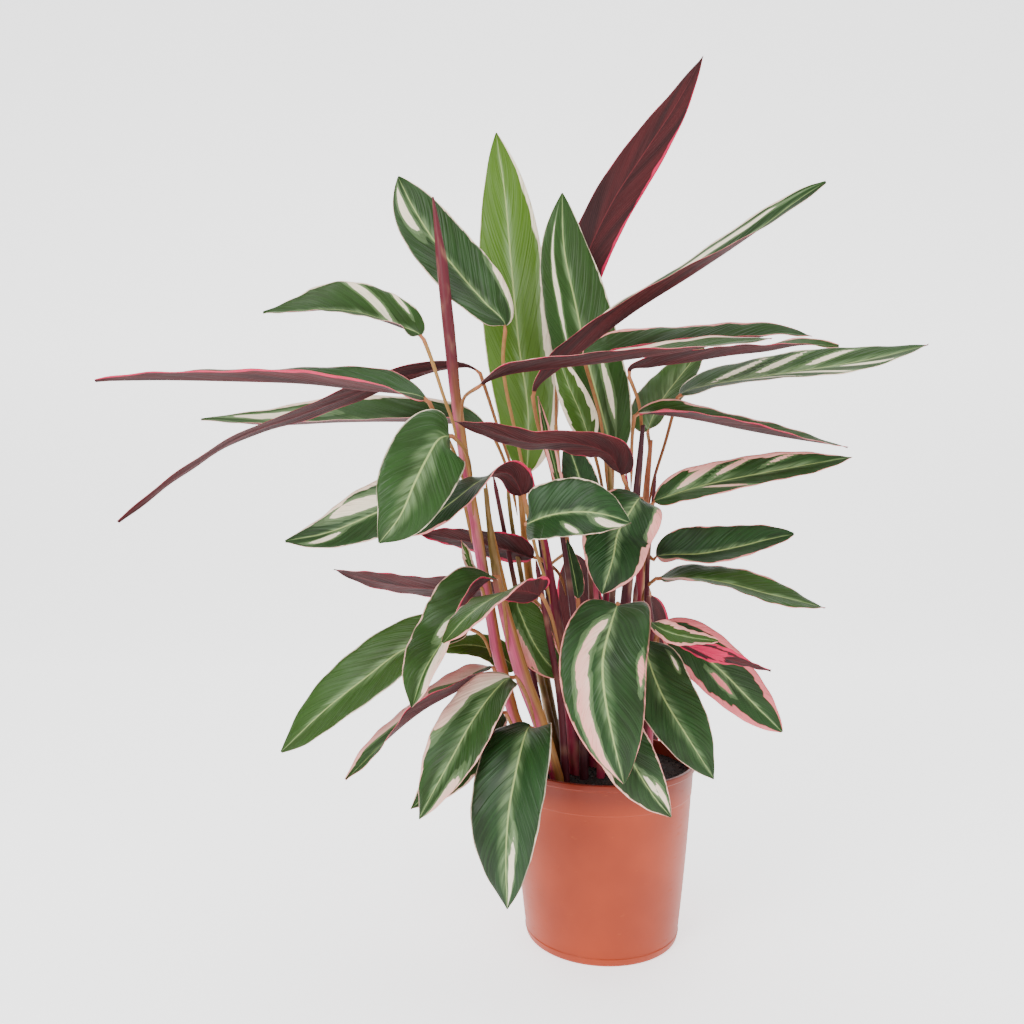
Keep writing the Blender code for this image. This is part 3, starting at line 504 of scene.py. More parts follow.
    Leaf("leaf_bud", "stem_left_spear", 0.386,
         ((483, 590, -0.050),),
         ((476, 578, -0.054), (470, 566, -0.056), (466, 553, -0.056), (461, 540, -0.055)),
         0.006, (20, 20, 20), 20),
    Leaf("leaf_olive_behind", "stem_left_back", 0.288,
         ((524, 672, 0.014),),
         ((516, 668, 0.006), (492, 650, 0.000), (466, 645, -0.002), (438, 650, -0.004)),
         0.017, (36, 30, 26), 12),
    Leaf("leaf_behind_left_stem", "stem_centre_front", 0.362,
         ((532, 588, -0.028),),
         ((518, 600, -0.030), (522, 617, -0.033), (534, 643, -0.036), (547, 662, -0.038),
          (567, 680, -0.044)),
         0.024, (0, 0, 0), 10),
    Leaf("leaf_dark_upright", "stem_centre", 0.346,
         ((578, 606, -0.004),),
         ((578, 598, -0.006), (575, 580, -0.004), (571, 560, -0.001), (567, 540, 0.002)),
         0.010, (10, 10, 10), 14),
    Leaf("leaf_inner_upright", "stem_back", 0.436,
         ((597, 520, 0.026),),
         ((590, 508, 0.014), (582, 486, 0.008), (575, 464, 0.006), (566, 440, 0.006)),
         0.020, (0, 0, 0), 12),
    Leaf("leaf_inner_rolled", "stem_centre", 0.456,
         ((566, 510, 0.016),),
         ((563, 500, 0.006), (553, 460, -0.004), (545, 428, -0.006), (538, 396, -0.006)),
         0.007, (20, 10, 10), 30),
    Leaf("leaf_inner_pale", "stem_back", 0.474,
         ((598, 462, 0.050),),
         ((590, 440, 0.058), (580, 412, 0.064), (568, 384, 0.068), (556, 352, 0.070)),
         0.019, (10, 0, 0), 12),
    Leaf("leaf_rear_low", "stem_left_back", 0.372,
         ((552, 562, 0.100),),
         ((566, 556, 0.130), (580, 600, 0.170), (590, 680, 0.200), (596, 760, 0.212),
          (598, 830, 0.214)),
         0.034, (160, 170, 175), 10),
    Leaf("leaf_rear_right", "stem_right_back", 0.392,
         ((648, 590, 0.070),),
         ((650, 596, 0.100), (652, 640, 0.140), (648, 700, 0.165), (642, 755, 0.176),
          (634, 805, 0.178)),
         0.026, (168, 172, 176), 10),
)

PAINTS = {
    "leaf_top_left": Paint(
        0.12, 0.20, 0.50, (0.04, 0.06), ((-0.48, 0.22, 0.80, 0.12), (0.93, 0.15, 0.16, 0.16)), 0.3),
    "leaf_tallest_pale": Paint(0.75, 0.05, 0.60, (0.03, 0.16), ((0.95, 0.22, 0.42, 0.20),), 0.2),
    "leaf_tall_centre": Paint(
        0.18, 0.10, 0.50, (0.03, 0.05), ((-0.50, 0.07, 0.66, 0.26), (0.38, 0.10, 0.26, 0.13)), 0.4),
    "leaf_top_right": Paint(0.20, 0.85, 0.40, (0.12, 0.03), (), 0.6),
    "leaf_slanting_right": Paint(0.10, 0.20, 0.60, (0.10, 0.02), ((-0.6, 0.12, 0.6, 0.3),), 0.5),
    "leaf_long_right_front": Paint(0.20, 0.30, 0.50, (0.20, 0.06), (), 0.6),
    "leaf_right_second": Paint(0.20, 0.60, 0.50, (0.16, 0.05), (), 0.5),
    "leaf_right_third": Paint(0.15, 0.80, 0.50, (0.10, 0.18), ((0.6, 0.3, 0.22, 0.12),), 0.5),
    "leaf_centre_under": Paint(0.15, 0.60, 0.40, (0.02, 0.04), (), 0.6),
    "leaf_left_front": Paint(0.14, 0.10, 1.10, (0.03, 0.02), (), 0.3),
    "leaf_twisted_left": Paint(0.05, 0.65, 0.30, (0.12, 0.05), (), 0.2),
    "leaf_left_behind": Paint(
        0.10, 0.25, 0.50, (0.04, 0.16), ((0.50, 0.28, 0.55, 0.16), (-0.4, 0.3, 0.78, 0.05)), 0.3),
    "leaf_left_under": Paint(0.15, 0.60, 0.40, (0.05, 0.05), (), 0.5),
    "leaf_hooked_left": Paint(
        0.18, 0.35, 0.60, (0.20, 0.05), ((-0.6, 0.28, 0.72, 0.20), (0.15, 0.12, 0.45, 0.08)), 0.5),
    "leaf_turned_left": Paint(0.25, 0.60, 0.50, (0.18, 0.05), (), 0.5),
    "leaf_low_left_broad": Paint(0.26, 0.10, 0.80, (0.03, 0.03), (), 0.3),
    "leaf_low_left_narrow": Paint(
        0.15, 0.60, 0.50, (0.05, 0.40), ((0.6, 0.4, 0.16, 0.14), (0.7, 0.3, 0.66, 0.12)), 0.5),
    "leaf_low_left_front": Paint(
        0.14, 0.40, 0.85, (0.05, 0.10),
        ((0.60, 0.50, 0.10, 0.14), (0.8, 0.25, 0.36, 0.16), (-0.85, 0.25, 0.82, 0.14)), 0.5),
    "leaf_low_left_behind": Paint(0.15, 0.35, 0.60, (0.12, 0.20), ((0.5, 0.3, 0.55, 0.14),), 0.4),
    "leaf_front_left_pot": Paint(0.06, 0.15, 1.00, (0.02, 0.02), ((-0.28, 0.14, 0.82, 0.16),), 0.5),
    "leaf_front_centre": Paint(
        0.08, 0.62, 0.60, (0.03, 0.05),
        ((0.22, 0.12, 0.19, 0.05), (0.36, 0.15, 0.28, 0.08), (0.48, 0.16, 0.46, 0.16),
         (0.60, 0.16, 0.70, 0.20), (0.7, 0.16, 0.86, 0.14), (-0.88, 0.08, 0.42, 0.12)), 0.5),
    "leaf_right_of_centre": Paint(0.10, 0.30, 0.80, (0.03, 0.03), ((-0.78, 0.05, 0.22, 0.07),), 0.4),
    "leaf_front_right_pot": Paint(
        0.10, 0.40, 0.45, (0.05, 0.14), ((-0.55, 0.20, 0.84, 0.12), (-0.2, 0.1, 0.7, 0.1)), 0.4),
    "leaf_pink_right": Paint(0.10, 0.86, 0.50, (0.26, 0.24), ((0.35, 0.10, 0.5, 0.10),), 0.6),
    "leaf_right_narrow": Paint(0.30, 0.65, 0.50, (0.40, 0.30), (), 0.5),
    "leaf_right_under": Paint(0.20, 1.00, 0.40, (0.25, 0.25), ((0.0, 0.6, 0.3, 0.2),), 0.7),
    "leaf_hooked_right": Paint(0.22, 0.60, 0.55, (0.08, 0.05), ((0.5, 0.5, 0.04, 0.10),), 0.5),
    "leaf_right_mid": Paint(0.06, 0.75, 0.50, (0.05, 0.10), ((0.8, 0.4, 0.06, 0.10),), 0.4),
    "leaf_right_striped": Paint(
        0.10, 0.60, 0.95, (0.20, 0.06),
        ((-0.55, 0.40, 0.24, 0.045), (-0.6, 0.35, 0.42, 0.035), (0.5, 0.35, 0.34, 0.03),
         (-0.6, 0.30, 0.66, 0.03)), 0.4),
    "leaf_right_drooping": Paint(0.20, 0.60, 0.50, (0.14, 0.12), ((0.4, 0.4, 0.05, 0.10),), 0.6),
    "leaf_far_right": Paint(
        0.18, 0.10, 1.00, (0.05, 0.06),
        ((-0.5, 0.45, 0.26, 0.030), (-0.5, 0.40, 0.42, 0.035), (-0.5, 0.35, 0.62, 0.04),
         (0.5, 0.40, 0.34, 0.03), (0.5, 0.40, 0.54, 0.035), (0.5, 0.30, 0.74, 0.04)), 0.7),
    "leaf_right_upright": Paint(0.30, 0.15, 1.40, (0.03, 0.03), (), 0.5),
    "leaf_upper_left": Paint(
        0.18, 0.15, 0.40, (0.06, 0.05), ((0.55, 0.50, 0.36, 0.045), (0.85, 0.30, 0.20, 0.03)), 0.1),
    "leaf_longest_left": Paint(0.12, 0.85, 0.40, (0.16, 0.03), (), 0.3),
    "leaf_left_middle": Paint(0.18, 0.25, 0.60, (0.08, 0.12), ((0.5, 0.2, 0.75, 0.14),), 0.4),
    "leaf_left_drooping": Paint(0.20, 0.60, 0.40, (0.03, 0.03), (), 0.6),
    "leaf_centre_face_on": Paint(
        0.06, 0.20, 0.50, (0.05, 0.03), ((0.55, 0.35, 0.82, 0.08), (0.7, 0.25, 0.50, 0.04)), 0.5),
    "leaf_centre_hanging": Paint(0.06, 0.60, 0.75, (0.14, 0.10), ((-0.85, 0.12, 0.25, 0.16),), 0.5),
    "leaf_behind_stems": Paint(0.15, 0.90, 0.40, (0.06, 0.20), (), 0.6),
    "leaf_bud": Paint(0.50, 0.50, 0.80, (0.5, 0.5), (), 0.4),
    "leaf_olive_behind": Paint(0.55, 0.20, 0.30, (0.03, 0.03), (), 0.3),
    "leaf_behind_left_stem": Paint(
        0.30, 0.75, 0.40, (0.08, 0.10), ((0.65, 0.30, 0.48, 0.20), (0.2, 0.6, 0.95, 0.05)), 0.4),
    "leaf_dark_upright": Paint(0.10, 0.70, 0.30, (0.30, 0.05), (), 0.5),
    "leaf_inner_upright": Paint(0.06, 0.40, 0.40, (0.05, 0.05), (), 0.5),
    "leaf_inner_rolled": Paint(0.20, 0.70, 0.60, (0.4, 0.4), (), 0.5),
    "leaf_inner_pale": Paint(0.45, 0.15, 0.85, (0.2, 0.3), (), 0.5),
    "leaf_rear_low": Paint(0.15, 0.30, 0.60, (0.08, 0.08), ((0.5, 0.3, 0.6, 0.16),), 0.4),
    "leaf_rear_right": Paint(0.22, 0.35, 0.60, (0.08, 0.14), ((-0.5, 0.3, 0.5, 0.16),), 0.4),
}


# Courses and rings

def seen_at(px, py, depth):
    """The point that shows at a pixel place, at this depth along Y."""
    reach = (depth - EYE.y) / FOCAL_PX
    return Vector((EYE.x + (px - CENTRE_PX) * reach, depth, EYE.z - (py - CENTRE_PX) * reach))


def curve_point(points, place):
    """A point on the smooth curve through these points, at place 0 to len(points) - 1."""
    last = len(points) - 1
    i = min(int(place), last - 1)
    t = place - i
    start, end = points[i], points[i + 1]
    before = points[i - 1] if i else start
    after = points[i + 2] if i + 2 <= last else end
    span = (end - start).length
    leaving = (end - before).normalized() * span
    arriving = (after - start).normalized() * span
    bend = leaving * (t * (1 - t) ** 2) - arriving * (t * t * (1 - t))
    return start * ((1 + 2 * t) * (1 - t) ** 2) + end * (t * t * (3 - 2 * t)) + bend


def course(points, start, end, shares, fine=COURSE_STEPS):
    """Points and unit tangents at these shares of the curve's length between two of its places."""
    places = [start + (end - start) * i / fine for i in range(fine + 1)]
    line = [curve_point(points, place) for place in places]
    turns = [(b - a).normalized() for a, b in zip(line, line[1:])]
    turns = [turns[0]] + [(a + b).normalized() for a, b in zip(turns, turns[1:])] + [turns[-1]]
    run = [0.0]
    for one, other in zip(line, line[1:]):
        run.append(run[-1] + (other - one).length)
    found = []
    k = 1
    for share in shares:
        target = share * run[-1]
        while k < fine and run[k] < target:
            k += 1
        part = (target - run[k - 1]) / max(run[k] - run[k - 1], 1e-9)
        found.append((line[k - 1].lerp(line[k], part), turns[k - 1].lerp(turns[k], part).normalized()))
    return found, run[-1]


def even(count):
    """Shares from 0 to 1 in this many equal steps."""
    return [i / count for i in range(count + 1)]


def clamped(value):
    """The value kept between 0 and 1."""
    return min(max(value, 0), 1)


def on_runs(values, place):
    """The value at a place from 0 to len(values) - 1, on straight runs."""
    k = min(int(place), len(values) - 2)
    return values[k] + (values[k + 1] - values[k]) * (place - k)


def blend(values, s):
    """Three values at 0, 0.5 and 1, met by straight runs."""
    first, middle, last = values
    return first + (middle - first) * s * 2 if s < 0.5 else middle + (last - middle) * (s - 0.5) * 2


def round_ring(point, normal, side, radius, sides, start=0.0):
    """A ring of points round a petiole or a stem."""
    ring = []
    for i in range(sides):
        angle = start - math.tau * i / sides
        ring.append(point + side * (radius * math.cos(angle)) + normal * (radius * math.sin(angle)))
    return ring


class Skin:
    """A closed surface built ring by ring, with three numbers kept for each point."""

    def __init__(self):
        self.points = []
        self.marks = []
        self.paints = []
        self.faces = []
        self.last = None

    def add(self, ring, marks, paints):
        """Joins a ring to the one before it. The first ring gets a cap."""
        first = len(self.points)
        self.points += ring
        self.marks += marks
        self.paints += paints
        here = list(range(first, first + len(ring)))
        if self.last is None:
            self.cap(here, backwards=False)
        elif len(self.last) == len(here):
            self.join(self.last, here)
        else:
            self.widen(self.last, here)
        self.last = here

    def join(self, low, high):
        n = len(low)
        self.faces += [(low[j], high[j], high[(j + 1) % n], low[(j + 1) % n]) for j in range(n)]

    def widen(self, low, high):
        """From a petiole's ring to a blade's, which has two points for each of its own."""
        n = len(low)
        for j in range(n):
            k = (j + 1) % n
            self.faces.append((low[j], high[2 * j], high[2 * j + 1]))
            self.faces.append((low[j], high[2 * j + 1], high[2 * k], low[k]))

    def cap(self, ring, backwards):
        """Closes a ring round its middle."""
        middle = len(self.points)
        self.points.append(sum((self.points[i] for i in ring), Vector()) / len(ring))
        self.marks.append(self.marks[ring[0]])
        self.paints.append(self.paints[ring[0]])
        for j, i in enumerate(ring):
            k = ring[(j + 1) % len(ring)]
            self.faces.append((k, i, middle) if backwards else (i, k, middle))

    def zip_shut(self):
        """Closes a blade's tip across, top to underside."""
        ring = self.last
        for j in range(len(ring) // 2 - 1):
            self.faces.append((ring[j], ring[-1 - j], ring[-2 - j], ring[j + 1]))


# Shader maths

class Value:
    """A shader socket that takes part in Python expressions."""

    def __init__(self, finish, socket):
        self.finish = finish
        self.socket = socket

    def math(self, operation, *others, flip=False):
        terms = [self, *others]
        if flip:
            terms.reverse()
        settings = {"operation": operation}
        return self.finish.node("ShaderNodeMath", settings, dict(enumerate(terms)))

    def __add__(self, other):
        return self.math("ADD", other)

    def __sub__(self, other):
        return self.math("SUBTRACT", other)

    def __rsub__(self, other):
        return self.math("SUBTRACT", other, flip=True)

    def __mul__(self, other):
        return self.math("MULTIPLY", other)

    def __abs__(self):
        return self.math("ABSOLUTE")

    __radd__ = __add__
    __rmul__ = __mul__

    def sign(self):
        return self.math("SIGN")

    def sin(self):
        return self.math("SINE")

    def most(self, other):
        return self.math("MAXIMUM", other)

    def step(self, low, high):
        """Rises smoothly from 0 at low to 1 at high."""
        settings = {"interpolation_type": "SMOOTHSTEP"}
        return self.finish.node("ShaderNodeMapRange", settings, {0: self, 1: low, 2: high})


class Finish:
    """One material, written as expressions."""

    def __init__(self, name):
        self.material = bpy.data.materials.new(name)
        self.material.use_nodes = True
        self.tree = self.material.node_tree
        self.shader = self.tree.nodes["Principled BSDF"]

    def node(self, kind, settings=None, sockets=None, out=0):
        """Any node: its settings first, then values or links for its sockets."""
        made = self.tree.nodes.new(kind)
        for key, value in (settings or {}).items():
            setattr(made, key, value)
        for key, value in (sockets or {}).items():
            self.feed(made.inputs[key], value)
        return Value(self, made.outputs[out])

    def feed(self, socket, value):
        if isinstance(value, Value):
            self.tree.links.new(value.socket, socket)
        elif socket.type == "RGBA":
            socket.default_value = (*value[:3], 1)
        else:
            socket.default_value = value

    def vector(self, x, y, z):
        return self.node("ShaderNodeCombineXYZ", None, {0: x, 1: y, 2: z})

    def parts(self, vector):
        split = self.tree.nodes.new("ShaderNodeSeparateXYZ")
        self.tree.links.new(vector.socket, split.inputs[0])
        return [Value(self, socket) for socket in split.outputs]

    def attribute(self, name):
        """The three numbers of a named attribute."""
        return self.parts(self.node("ShaderNodeAttribute", {"attribute_name": name}, out=1))

    def tint(self, name):
        return self.node("ShaderNodeAttribute", {"attribute_name": name}, out=0)

    def place(self):
        return self.node("ShaderNodeTexCoord", out=3)

    def noise(self, where, scale=1.0, detail=2.0, rough=0.5):
        return self.node("ShaderNodeTexNoise", None, {"Vector": where, "Scale": scale, "Detail": detail,
                                                      "Roughness": rough})

    def mix(self, share, one, other):
        """A colour between two, by share."""
        settings = {"data_type": "RGBA", "clamp_factor": True}
        return self.node("ShaderNodeMix", settings, {0: share, 6: one, 7: other}, out=2)

    def bump(self, height, distance, strength=1.0):
        sockets = {"Height": height, "Distance": distance, "Strength": strength}
        return self.node("ShaderNodeBump", None, sockets)

    def wear(self, sockets):
        """Sets the shader's sockets and gives the finished material."""
        for name, value in sockets.items():
            self.feed(self.shader.inputs[name], value)
        return self.material


def leaf_finish(look):
    """Top, underside and stalk in one material. leaf_place holds across, along and face."""
    f = Finish("leaf")
    across, along, face = f.attribute("leaf_place")
    seed, tone, blush = f.attribute("leaf_kind")
    splash, edge, pale = f.attribute("leaf_paint")
    out = abs(across)
    hand = across.sign()
    vein = along - out * VEIN_SLANT
    streak = f.noise(f.vector(vein * STREAKS, out * 1.1, seed + hand * 7), detail=2)
    broad = f.noise(f.vector(vein * BROAD_STREAKS, out * 0.8, seed + hand * 5 + 20), detail=1)
    fleck = f.noise(f.vector(vein * FLECKS, out * 4, seed + hand * 3 + 40), detail=2)
    lines = (vein * FINE_VEINS).sin()
    bands = f.noise(f.vector(vein * BANDS, out * 0.8, seed + hand * 9 + 80), detail=1).step(0.35, 0.65)

    depth = splash + (streak - 0.5) * 0.75 + (broad - 0.5) * 0.5
    patch = depth.step(-0.02, 0.05)
    halo = depth.step(-0.62, -0.48) * 0.55 + depth.step(-0.28, -0.16) * 0.45
    rim = 1 - edge * (broad * 2.6 - 0.3)
    border = (out + (streak - 0.5) * 0.14 - rim).step(0.0, 0.04)
    thin_edge = (out + (streak - 0.5) * 0.07).step(0.955, 0.985)
    light = patch.most(border).most(thin_edge * (broad * 1.3 - 0.1))
    light = light * (1 - fleck.step(0.62, 0.70) * 0.35)

    cloud = f.noise(f.vector(across * 1.2, along * 2.4, seed + 60), detail=2)
    green = f.mix(cloud.step(0.3, 0.65), look.leaf_dark, look.leaf_green)
    green = f.mix(bands * 0.20, green, look.leaf_light)
    green = f.mix(tone, green, look.leaf_yellow)
    green = f.mix(halo * 0.46, green, look.leaf_pale)
    reach = pale * (broad * 0.65 + 0.06)
    feather = (streak.step(0.40, 0.65) + 0.35) * (1 - out.step(reach * 0.10, reach))
    green = f.mix(feather * 0.38, green, look.leaf_pale)
    rib = 1 - out.step(0.008, 0.040)
    green = f.mix(rib * 0.75, green, look.leaf_rib)
    green = f.mix((lines * 0.5 + 0.5) * 0.04, green, look.leaf_dark)
    rosy = (blush * 1.2 + (fleck - 0.5) * 0.4 + (out - 0.75) * 0.5).step(0.1, 0.95)
    blushed = f.mix((blush - 0.80) * 7, look.pink, look.under_pink)
    top = f.mix(light, green, f.mix(rosy, look.cream, blushed))

    under = f.mix(broad.step(0.25, 0.75), look.under_dark, look.under_red)
    under = f.mix(rib * 0.5 + (lines * 0.5 + 0.5) * 0.10, under, look.under_vein)
    under = f.mix(light, under, f.mix(fleck * 0.4, look.under_pink, look.under_red))

    grain = f.noise(f.vector(across * 3, along * 14, seed), detail=2)
    stalk = f.mix(splash * 0.8 + (grain - 0.5) * 0.8, look.stalk_tan, look.stalk_red)
    stalk = f.mix((0.0 - along).step(0.05, 0.2), look.neck, stalk)

    top_face = face.step(-0.1, 0.1)
    on_blade = along.step(-0.004, 0.004)
    blade = f.mix(top_face, under, top)
    height = (lines * 0.04 + bands * 0.8 + fleck * 0.3) * on_blade + grain * 0.1
    return f.wear({
        "Base Color": f.mix(on_blade, stalk, blade),
        "Roughness": 0.70 + (streak - 0.5) * 0.16 - top_face * on_blade * 0.26,
        "Normal": f.bump(height, 0.0009, 0.6),
        "Specular IOR Level": 0.28,
    })


def stem_finish():
    """Sheathed stems: the tint of each place, drawn out in fibres."""
    f = Finish("stem")
    around, along, depth = f.attribute("stem_place")
    fibre = f.noise(f.vector(around * 9, along * 5, depth * 3), detail=4, rough=0.6)
    smudge = f.noise(f.vector(around * 1.5, along * 22, depth), detail=2)
    colour = f.mix(fibre.step(0.35, 0.75) * 0.45, f.tint("stem_tint"), srgb(74, 30, 34))
    colour = f.mix(smudge.step(0.5, 0.8) * 0.35, colour, srgb(214, 170, 130))
    return f.wear({
        "Base Color": colour,
        "Roughness": 0.42 + fibre * 0.2,
        "Normal": f.bump(fibre, 0.0006, 0.5),
        "Specular IOR Level": 0.3,
    })


def pot_finish(look):
    """Satin terracotta-coloured plastic with faint scuffs and dust, darker clouds, and painted shade
    darkening the collar band near the top.
    """
    f = Finish("pot")
    where = f.place()
    x, y, z = f.parts(where)
    cloud = f.noise(where, 14.0, 3.0)
    scuff = f.noise(f.vector(x * 60, y * 60, z * 260), 1.0, 4.0, 0.7)
    crumb = f.noise(where, 420.0, 1.0)
    low = 1 - z.step(0.004, 0.05)
    # Painted shade: the collar band near the top is darkened almost to the pot shade colour, as if shadowed
    # by the leaves above.
    collar = z.step(POT_HEIGHT - COLLAR_BELOW_TOP - 0.004, POT_HEIGHT - 0.010)
    colour = f.mix(cloud.step(0.3, 0.75) * 0.35, look.pot, look.pot_cloud_and_painted_shade)
    colour = f.mix(collar * 0.9, colour, look.pot_cloud_and_painted_shade)
    colour = f.mix(scuff.step(0.62, 0.74) * 0.22, colour, look.pot_scuff)
    colour = f.mix(crumb.step(0.76, 0.80) * (0.25 + low * 0.6), colour, srgb(84, 56, 44))
    rough = 0.44 + (cloud - 0.5) * 0.12 + scuff.step(0.55, 0.75) * 0.18
    normal = f.bump(cloud + crumb * 0.15, 0.0008, 0.35)
    return f.wear({"Base Color": colour, "Roughness": rough, "Normal": normal, "Specular IOR Level": 0.28})


def soil_finish(name="soil"):
    """Dark peat with paler fibres."""
    f = Finish(name)
    where = f.place()
    lump = f.noise(where, 160.0, 4.0, 0.7)
    bits = f.noise(where, 520.0, 2.0)
    colour = f.mix(lump.step(0.35, 0.7), srgb(15, 9, 6), srgb(44, 28, 18))
    colour = f.mix(bits.step(0.66, 0.74) * 0.8, colour, srgb(104, 72, 46))
    return f.wear({"Base Color": colour, "Roughness": 0.95, "Normal": f.bump(lump + bits * 0.4, 0.003)})


# Pieces

def put(name, data):
    """A new object in the scene, at the origin."""
    made = bpy.data.objects.new(name, data)
    bpy.context.collection.objects.link(made)
    return made


def mesh_object(name, points, faces, material):
    """A smooth object with its faces turned out."""
    mesh = bpy.data.meshes.new(name)
    mesh.from_pydata([tuple(point) for point in points], [], faces)
    mesh.materials.append(material)
    face_out(mesh)
    mesh.shade_smooth()
    return put(name, mesh)


def face_out(mesh):
    """Turns every face outwards."""
    form = bmesh.new()
    form.from_mesh(mesh)
    bmesh.ops.recalc_face_normals(form, faces=form.faces)
    if form.calc_volume(signed=True) < 0:
        bmesh.ops.reverse_faces(form, faces=form.faces)
    form.to_mesh(mesh)
    form.free()


def keep_numbers(obj, name, triples, kind="FLOAT_VECTOR"):
    """Stores three numbers a point as a named attribute."""
    kept = obj.data.attributes.new(name, kind, "POINT")
    if kind == "FLOAT_COLOR":
        kept.data.foreach_set("color", [n for triple in triples for n in (*triple, 1.0)])
    else:
        kept.data.foreach_set("vector", [n for triple in triples for n in triple])


def ride_for(obj, node):
    """The piece rides with the plant and stands for the node."""
    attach(obj, "root")
    if node:
        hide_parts(node)


def stem_line(stem):
    """The stem's axis and radius, ring by ring: straight down in the soil, then as seen."""
    seen = [seen_at(*place) for place in stem.seen]
    found, _ = course(seen, 0, len(seen) - 1, even(STEM_RINGS))
    line = [point for point, _ in found]
    radii = [on_runs(stem.radii, share * (len(stem.radii) - 1)) for share in even(STEM_RINGS)]
    base = Vector((line[0].x, line[0].y, SOIL_TOP + SOIL_CROWN + STEM_LEAD))
    line[0] = base
    line.insert(0, Vector((base.x, base.y, SOIL_TOP - PLANTED_DEPTH)))
    return line, [radii[0], *radii]


def stem_place(stem, height):
    """The axis point and the radius of a stem at a height."""
    line, radii = stem_line(stem)
    for i in range(len(line) - 1):
        if line[i].z <= height <= line[i + 1].z:
            share = (height - line[i].z) / (line[i + 1].z - line[i].z)
            return line[i].lerp(line[i + 1], share), radii[i] + (radii[i + 1] - radii[i]) * share
    return line[-1], radii[-1]


def sheath_point(point, radius, angle, seam, phase):
    """A place on a sheathed stem, which swells round to its seam and is finely fluted."""
    turn = ((angle - seam) % math.tau) / math.tau
    flute = 1 - SHEATH_STEP * turn - FLUTE * (1 + math.sin(FLUTES * angle + phase))
    reach = radius * flute
    return point + Vector((reach * math.cos(angle), reach * math.sin(angle), 0))


def mixed(one, other, share):
    """A colour between two."""
    return tuple(a + (b - a) * share for a, b in zip(one, other))


def tint_at(stem, angle, z, height, phase):
    """The stem's colour: its left's and its right's with a wavering border, and its top's above."""
    left, right, top = stem.tints
    rightward = 0.5 + 0.5 * math.cos(angle + 0.5 * math.sin(z * SIDE_TINT_WAVER + phase))
    rightward = clamped(rightward * SIDE_TINT_SLOPE - SIDE_TINT_START)
    topward = clamped(height * TOP_TINT_SLOPE - TOP_TINT_START)
    return mixed(mixed(left, right, rightward), top, topward)


def make_stem(stem, material):
    """A round stem in overlapping sheaths: each swells to its rim, within the frame's stem."""
    line, radii = stem_line(stem)
    low, high = line[1].z, line[-1].z
    phase = len(stem.name) * STEM_PHASE
    skin = Skin()
    for share in even(STEM_STEPS * (len(line) - 1)):
        place = share * (len(line) - 1)
        k = min(int(place), len(line) - 2)
        point = line[k].lerp(line[k + 1], place - k)
        radius = on_runs(radii, place) * math.cos(math.pi / FRAME_STEM_SIDES)
        height = (point.z - low) / (high - low)
        seam = phase + point.z * SEAM_TURN
        ring, marks, tints = [], [], []
        for i in range(STEM_SIDES):
            angle = -math.tau * i / STEM_SIDES
            around = i / STEM_SIDES * 2
            ring.append(sheath_point(point, radius, angle, seam, phase))
            marks.append((around - 1 if i * 2 < STEM_SIDES else 1 - around, point.z, phase))
            tints.append(tint_at(stem, angle, point.z, height, phase))
        skin.add(ring, marks, tints)
    skin.cap(skin.last, backwards=True)
    made = mesh_object(stem.name + "_sheathed", skin.points, skin.faces, material)
    keep_numbers(made, "stem_place", skin.marks)
    keep_numbers(made, "stem_tint", skin.paints, "FLOAT_COLOR")
    ride_for(made, stem.name)
    return made


class Growth:
    """A Geometry Nodes tree with named inputs, whose result is made real and gets a material."""

    def __init__(self, name, inputs):
        self.tree = bpy.data.node_groups.new(name, "GeometryNodeTree")
        face = self.tree.interface
        face.new_socket("Geometry", in_out="INPUT", socket_type="NodeSocketGeometry")
        for title, kind, default in inputs:
            socket = face.new_socket(title, in_out="INPUT", socket_type="NodeSocket" + kind)
            socket.default_value = default
        face.new_socket("Material", in_out="INPUT", socket_type="NodeSocketMaterial")
        face.new_socket("Geometry", in_out="OUTPUT", socket_type="NodeSocketGeometry")
        self.given = self.node("NodeGroupInput")

    def node(self, kind, settings=None, sockets=None):
        """The outputs of a node made with these settings, then values or links for its sockets."""
        made = self.tree.nodes.new(kind)
        for key, value in (settings or {}).items():
            setattr(made, key, value)
        for key, value in (sockets or {}).items():
            if isinstance(value, bpy.types.NodeSocket):
                self.tree.links.new(value, made.inputs[key])
            else:
                made.inputs[key].default_value = value
        return made.outputs

    def finished(self, geometry):
        """The whole tree, with this geometry made real and given the material."""
        real = self.node("GeometryNodeRealizeInstances", None, {0: geometry})
        sockets = {"Geometry": real[0], "Material": self.given["Material"]}
        dressed = self.node("GeometryNodeSetMaterial", None, sockets)
        self.node("NodeGroupOutput", None, {0: dressed[0]})
        return self.tree


def shoot_tree():
    """Node tree: a round shoot along every line of a mesh, as thick as each point's own reach."""
    grow = Growth("Shoots", (("Sides", "Int", 12),))
    rail = grow.node("GeometryNodeMeshToCurve", None, {"Mesh": grow.given["Geometry"]})
    reach = grow.node("GeometryNodeInputNamedAttribute", None, {"Name": "reach"})
    sockets = {"Resolution": grow.given["Sides"], "Radius": 1.0}
    ring = grow.node("GeometryNodeCurvePrimitiveCircle", None, sockets)
    sockets = {"Curve": rail[0], "Profile Curve": ring[0], "Scale": reach[0], "Fill Caps": True}
    skin = grow.node("GeometryNodeCurveToMesh", None, sockets)
    return grow.finished(skin[0])


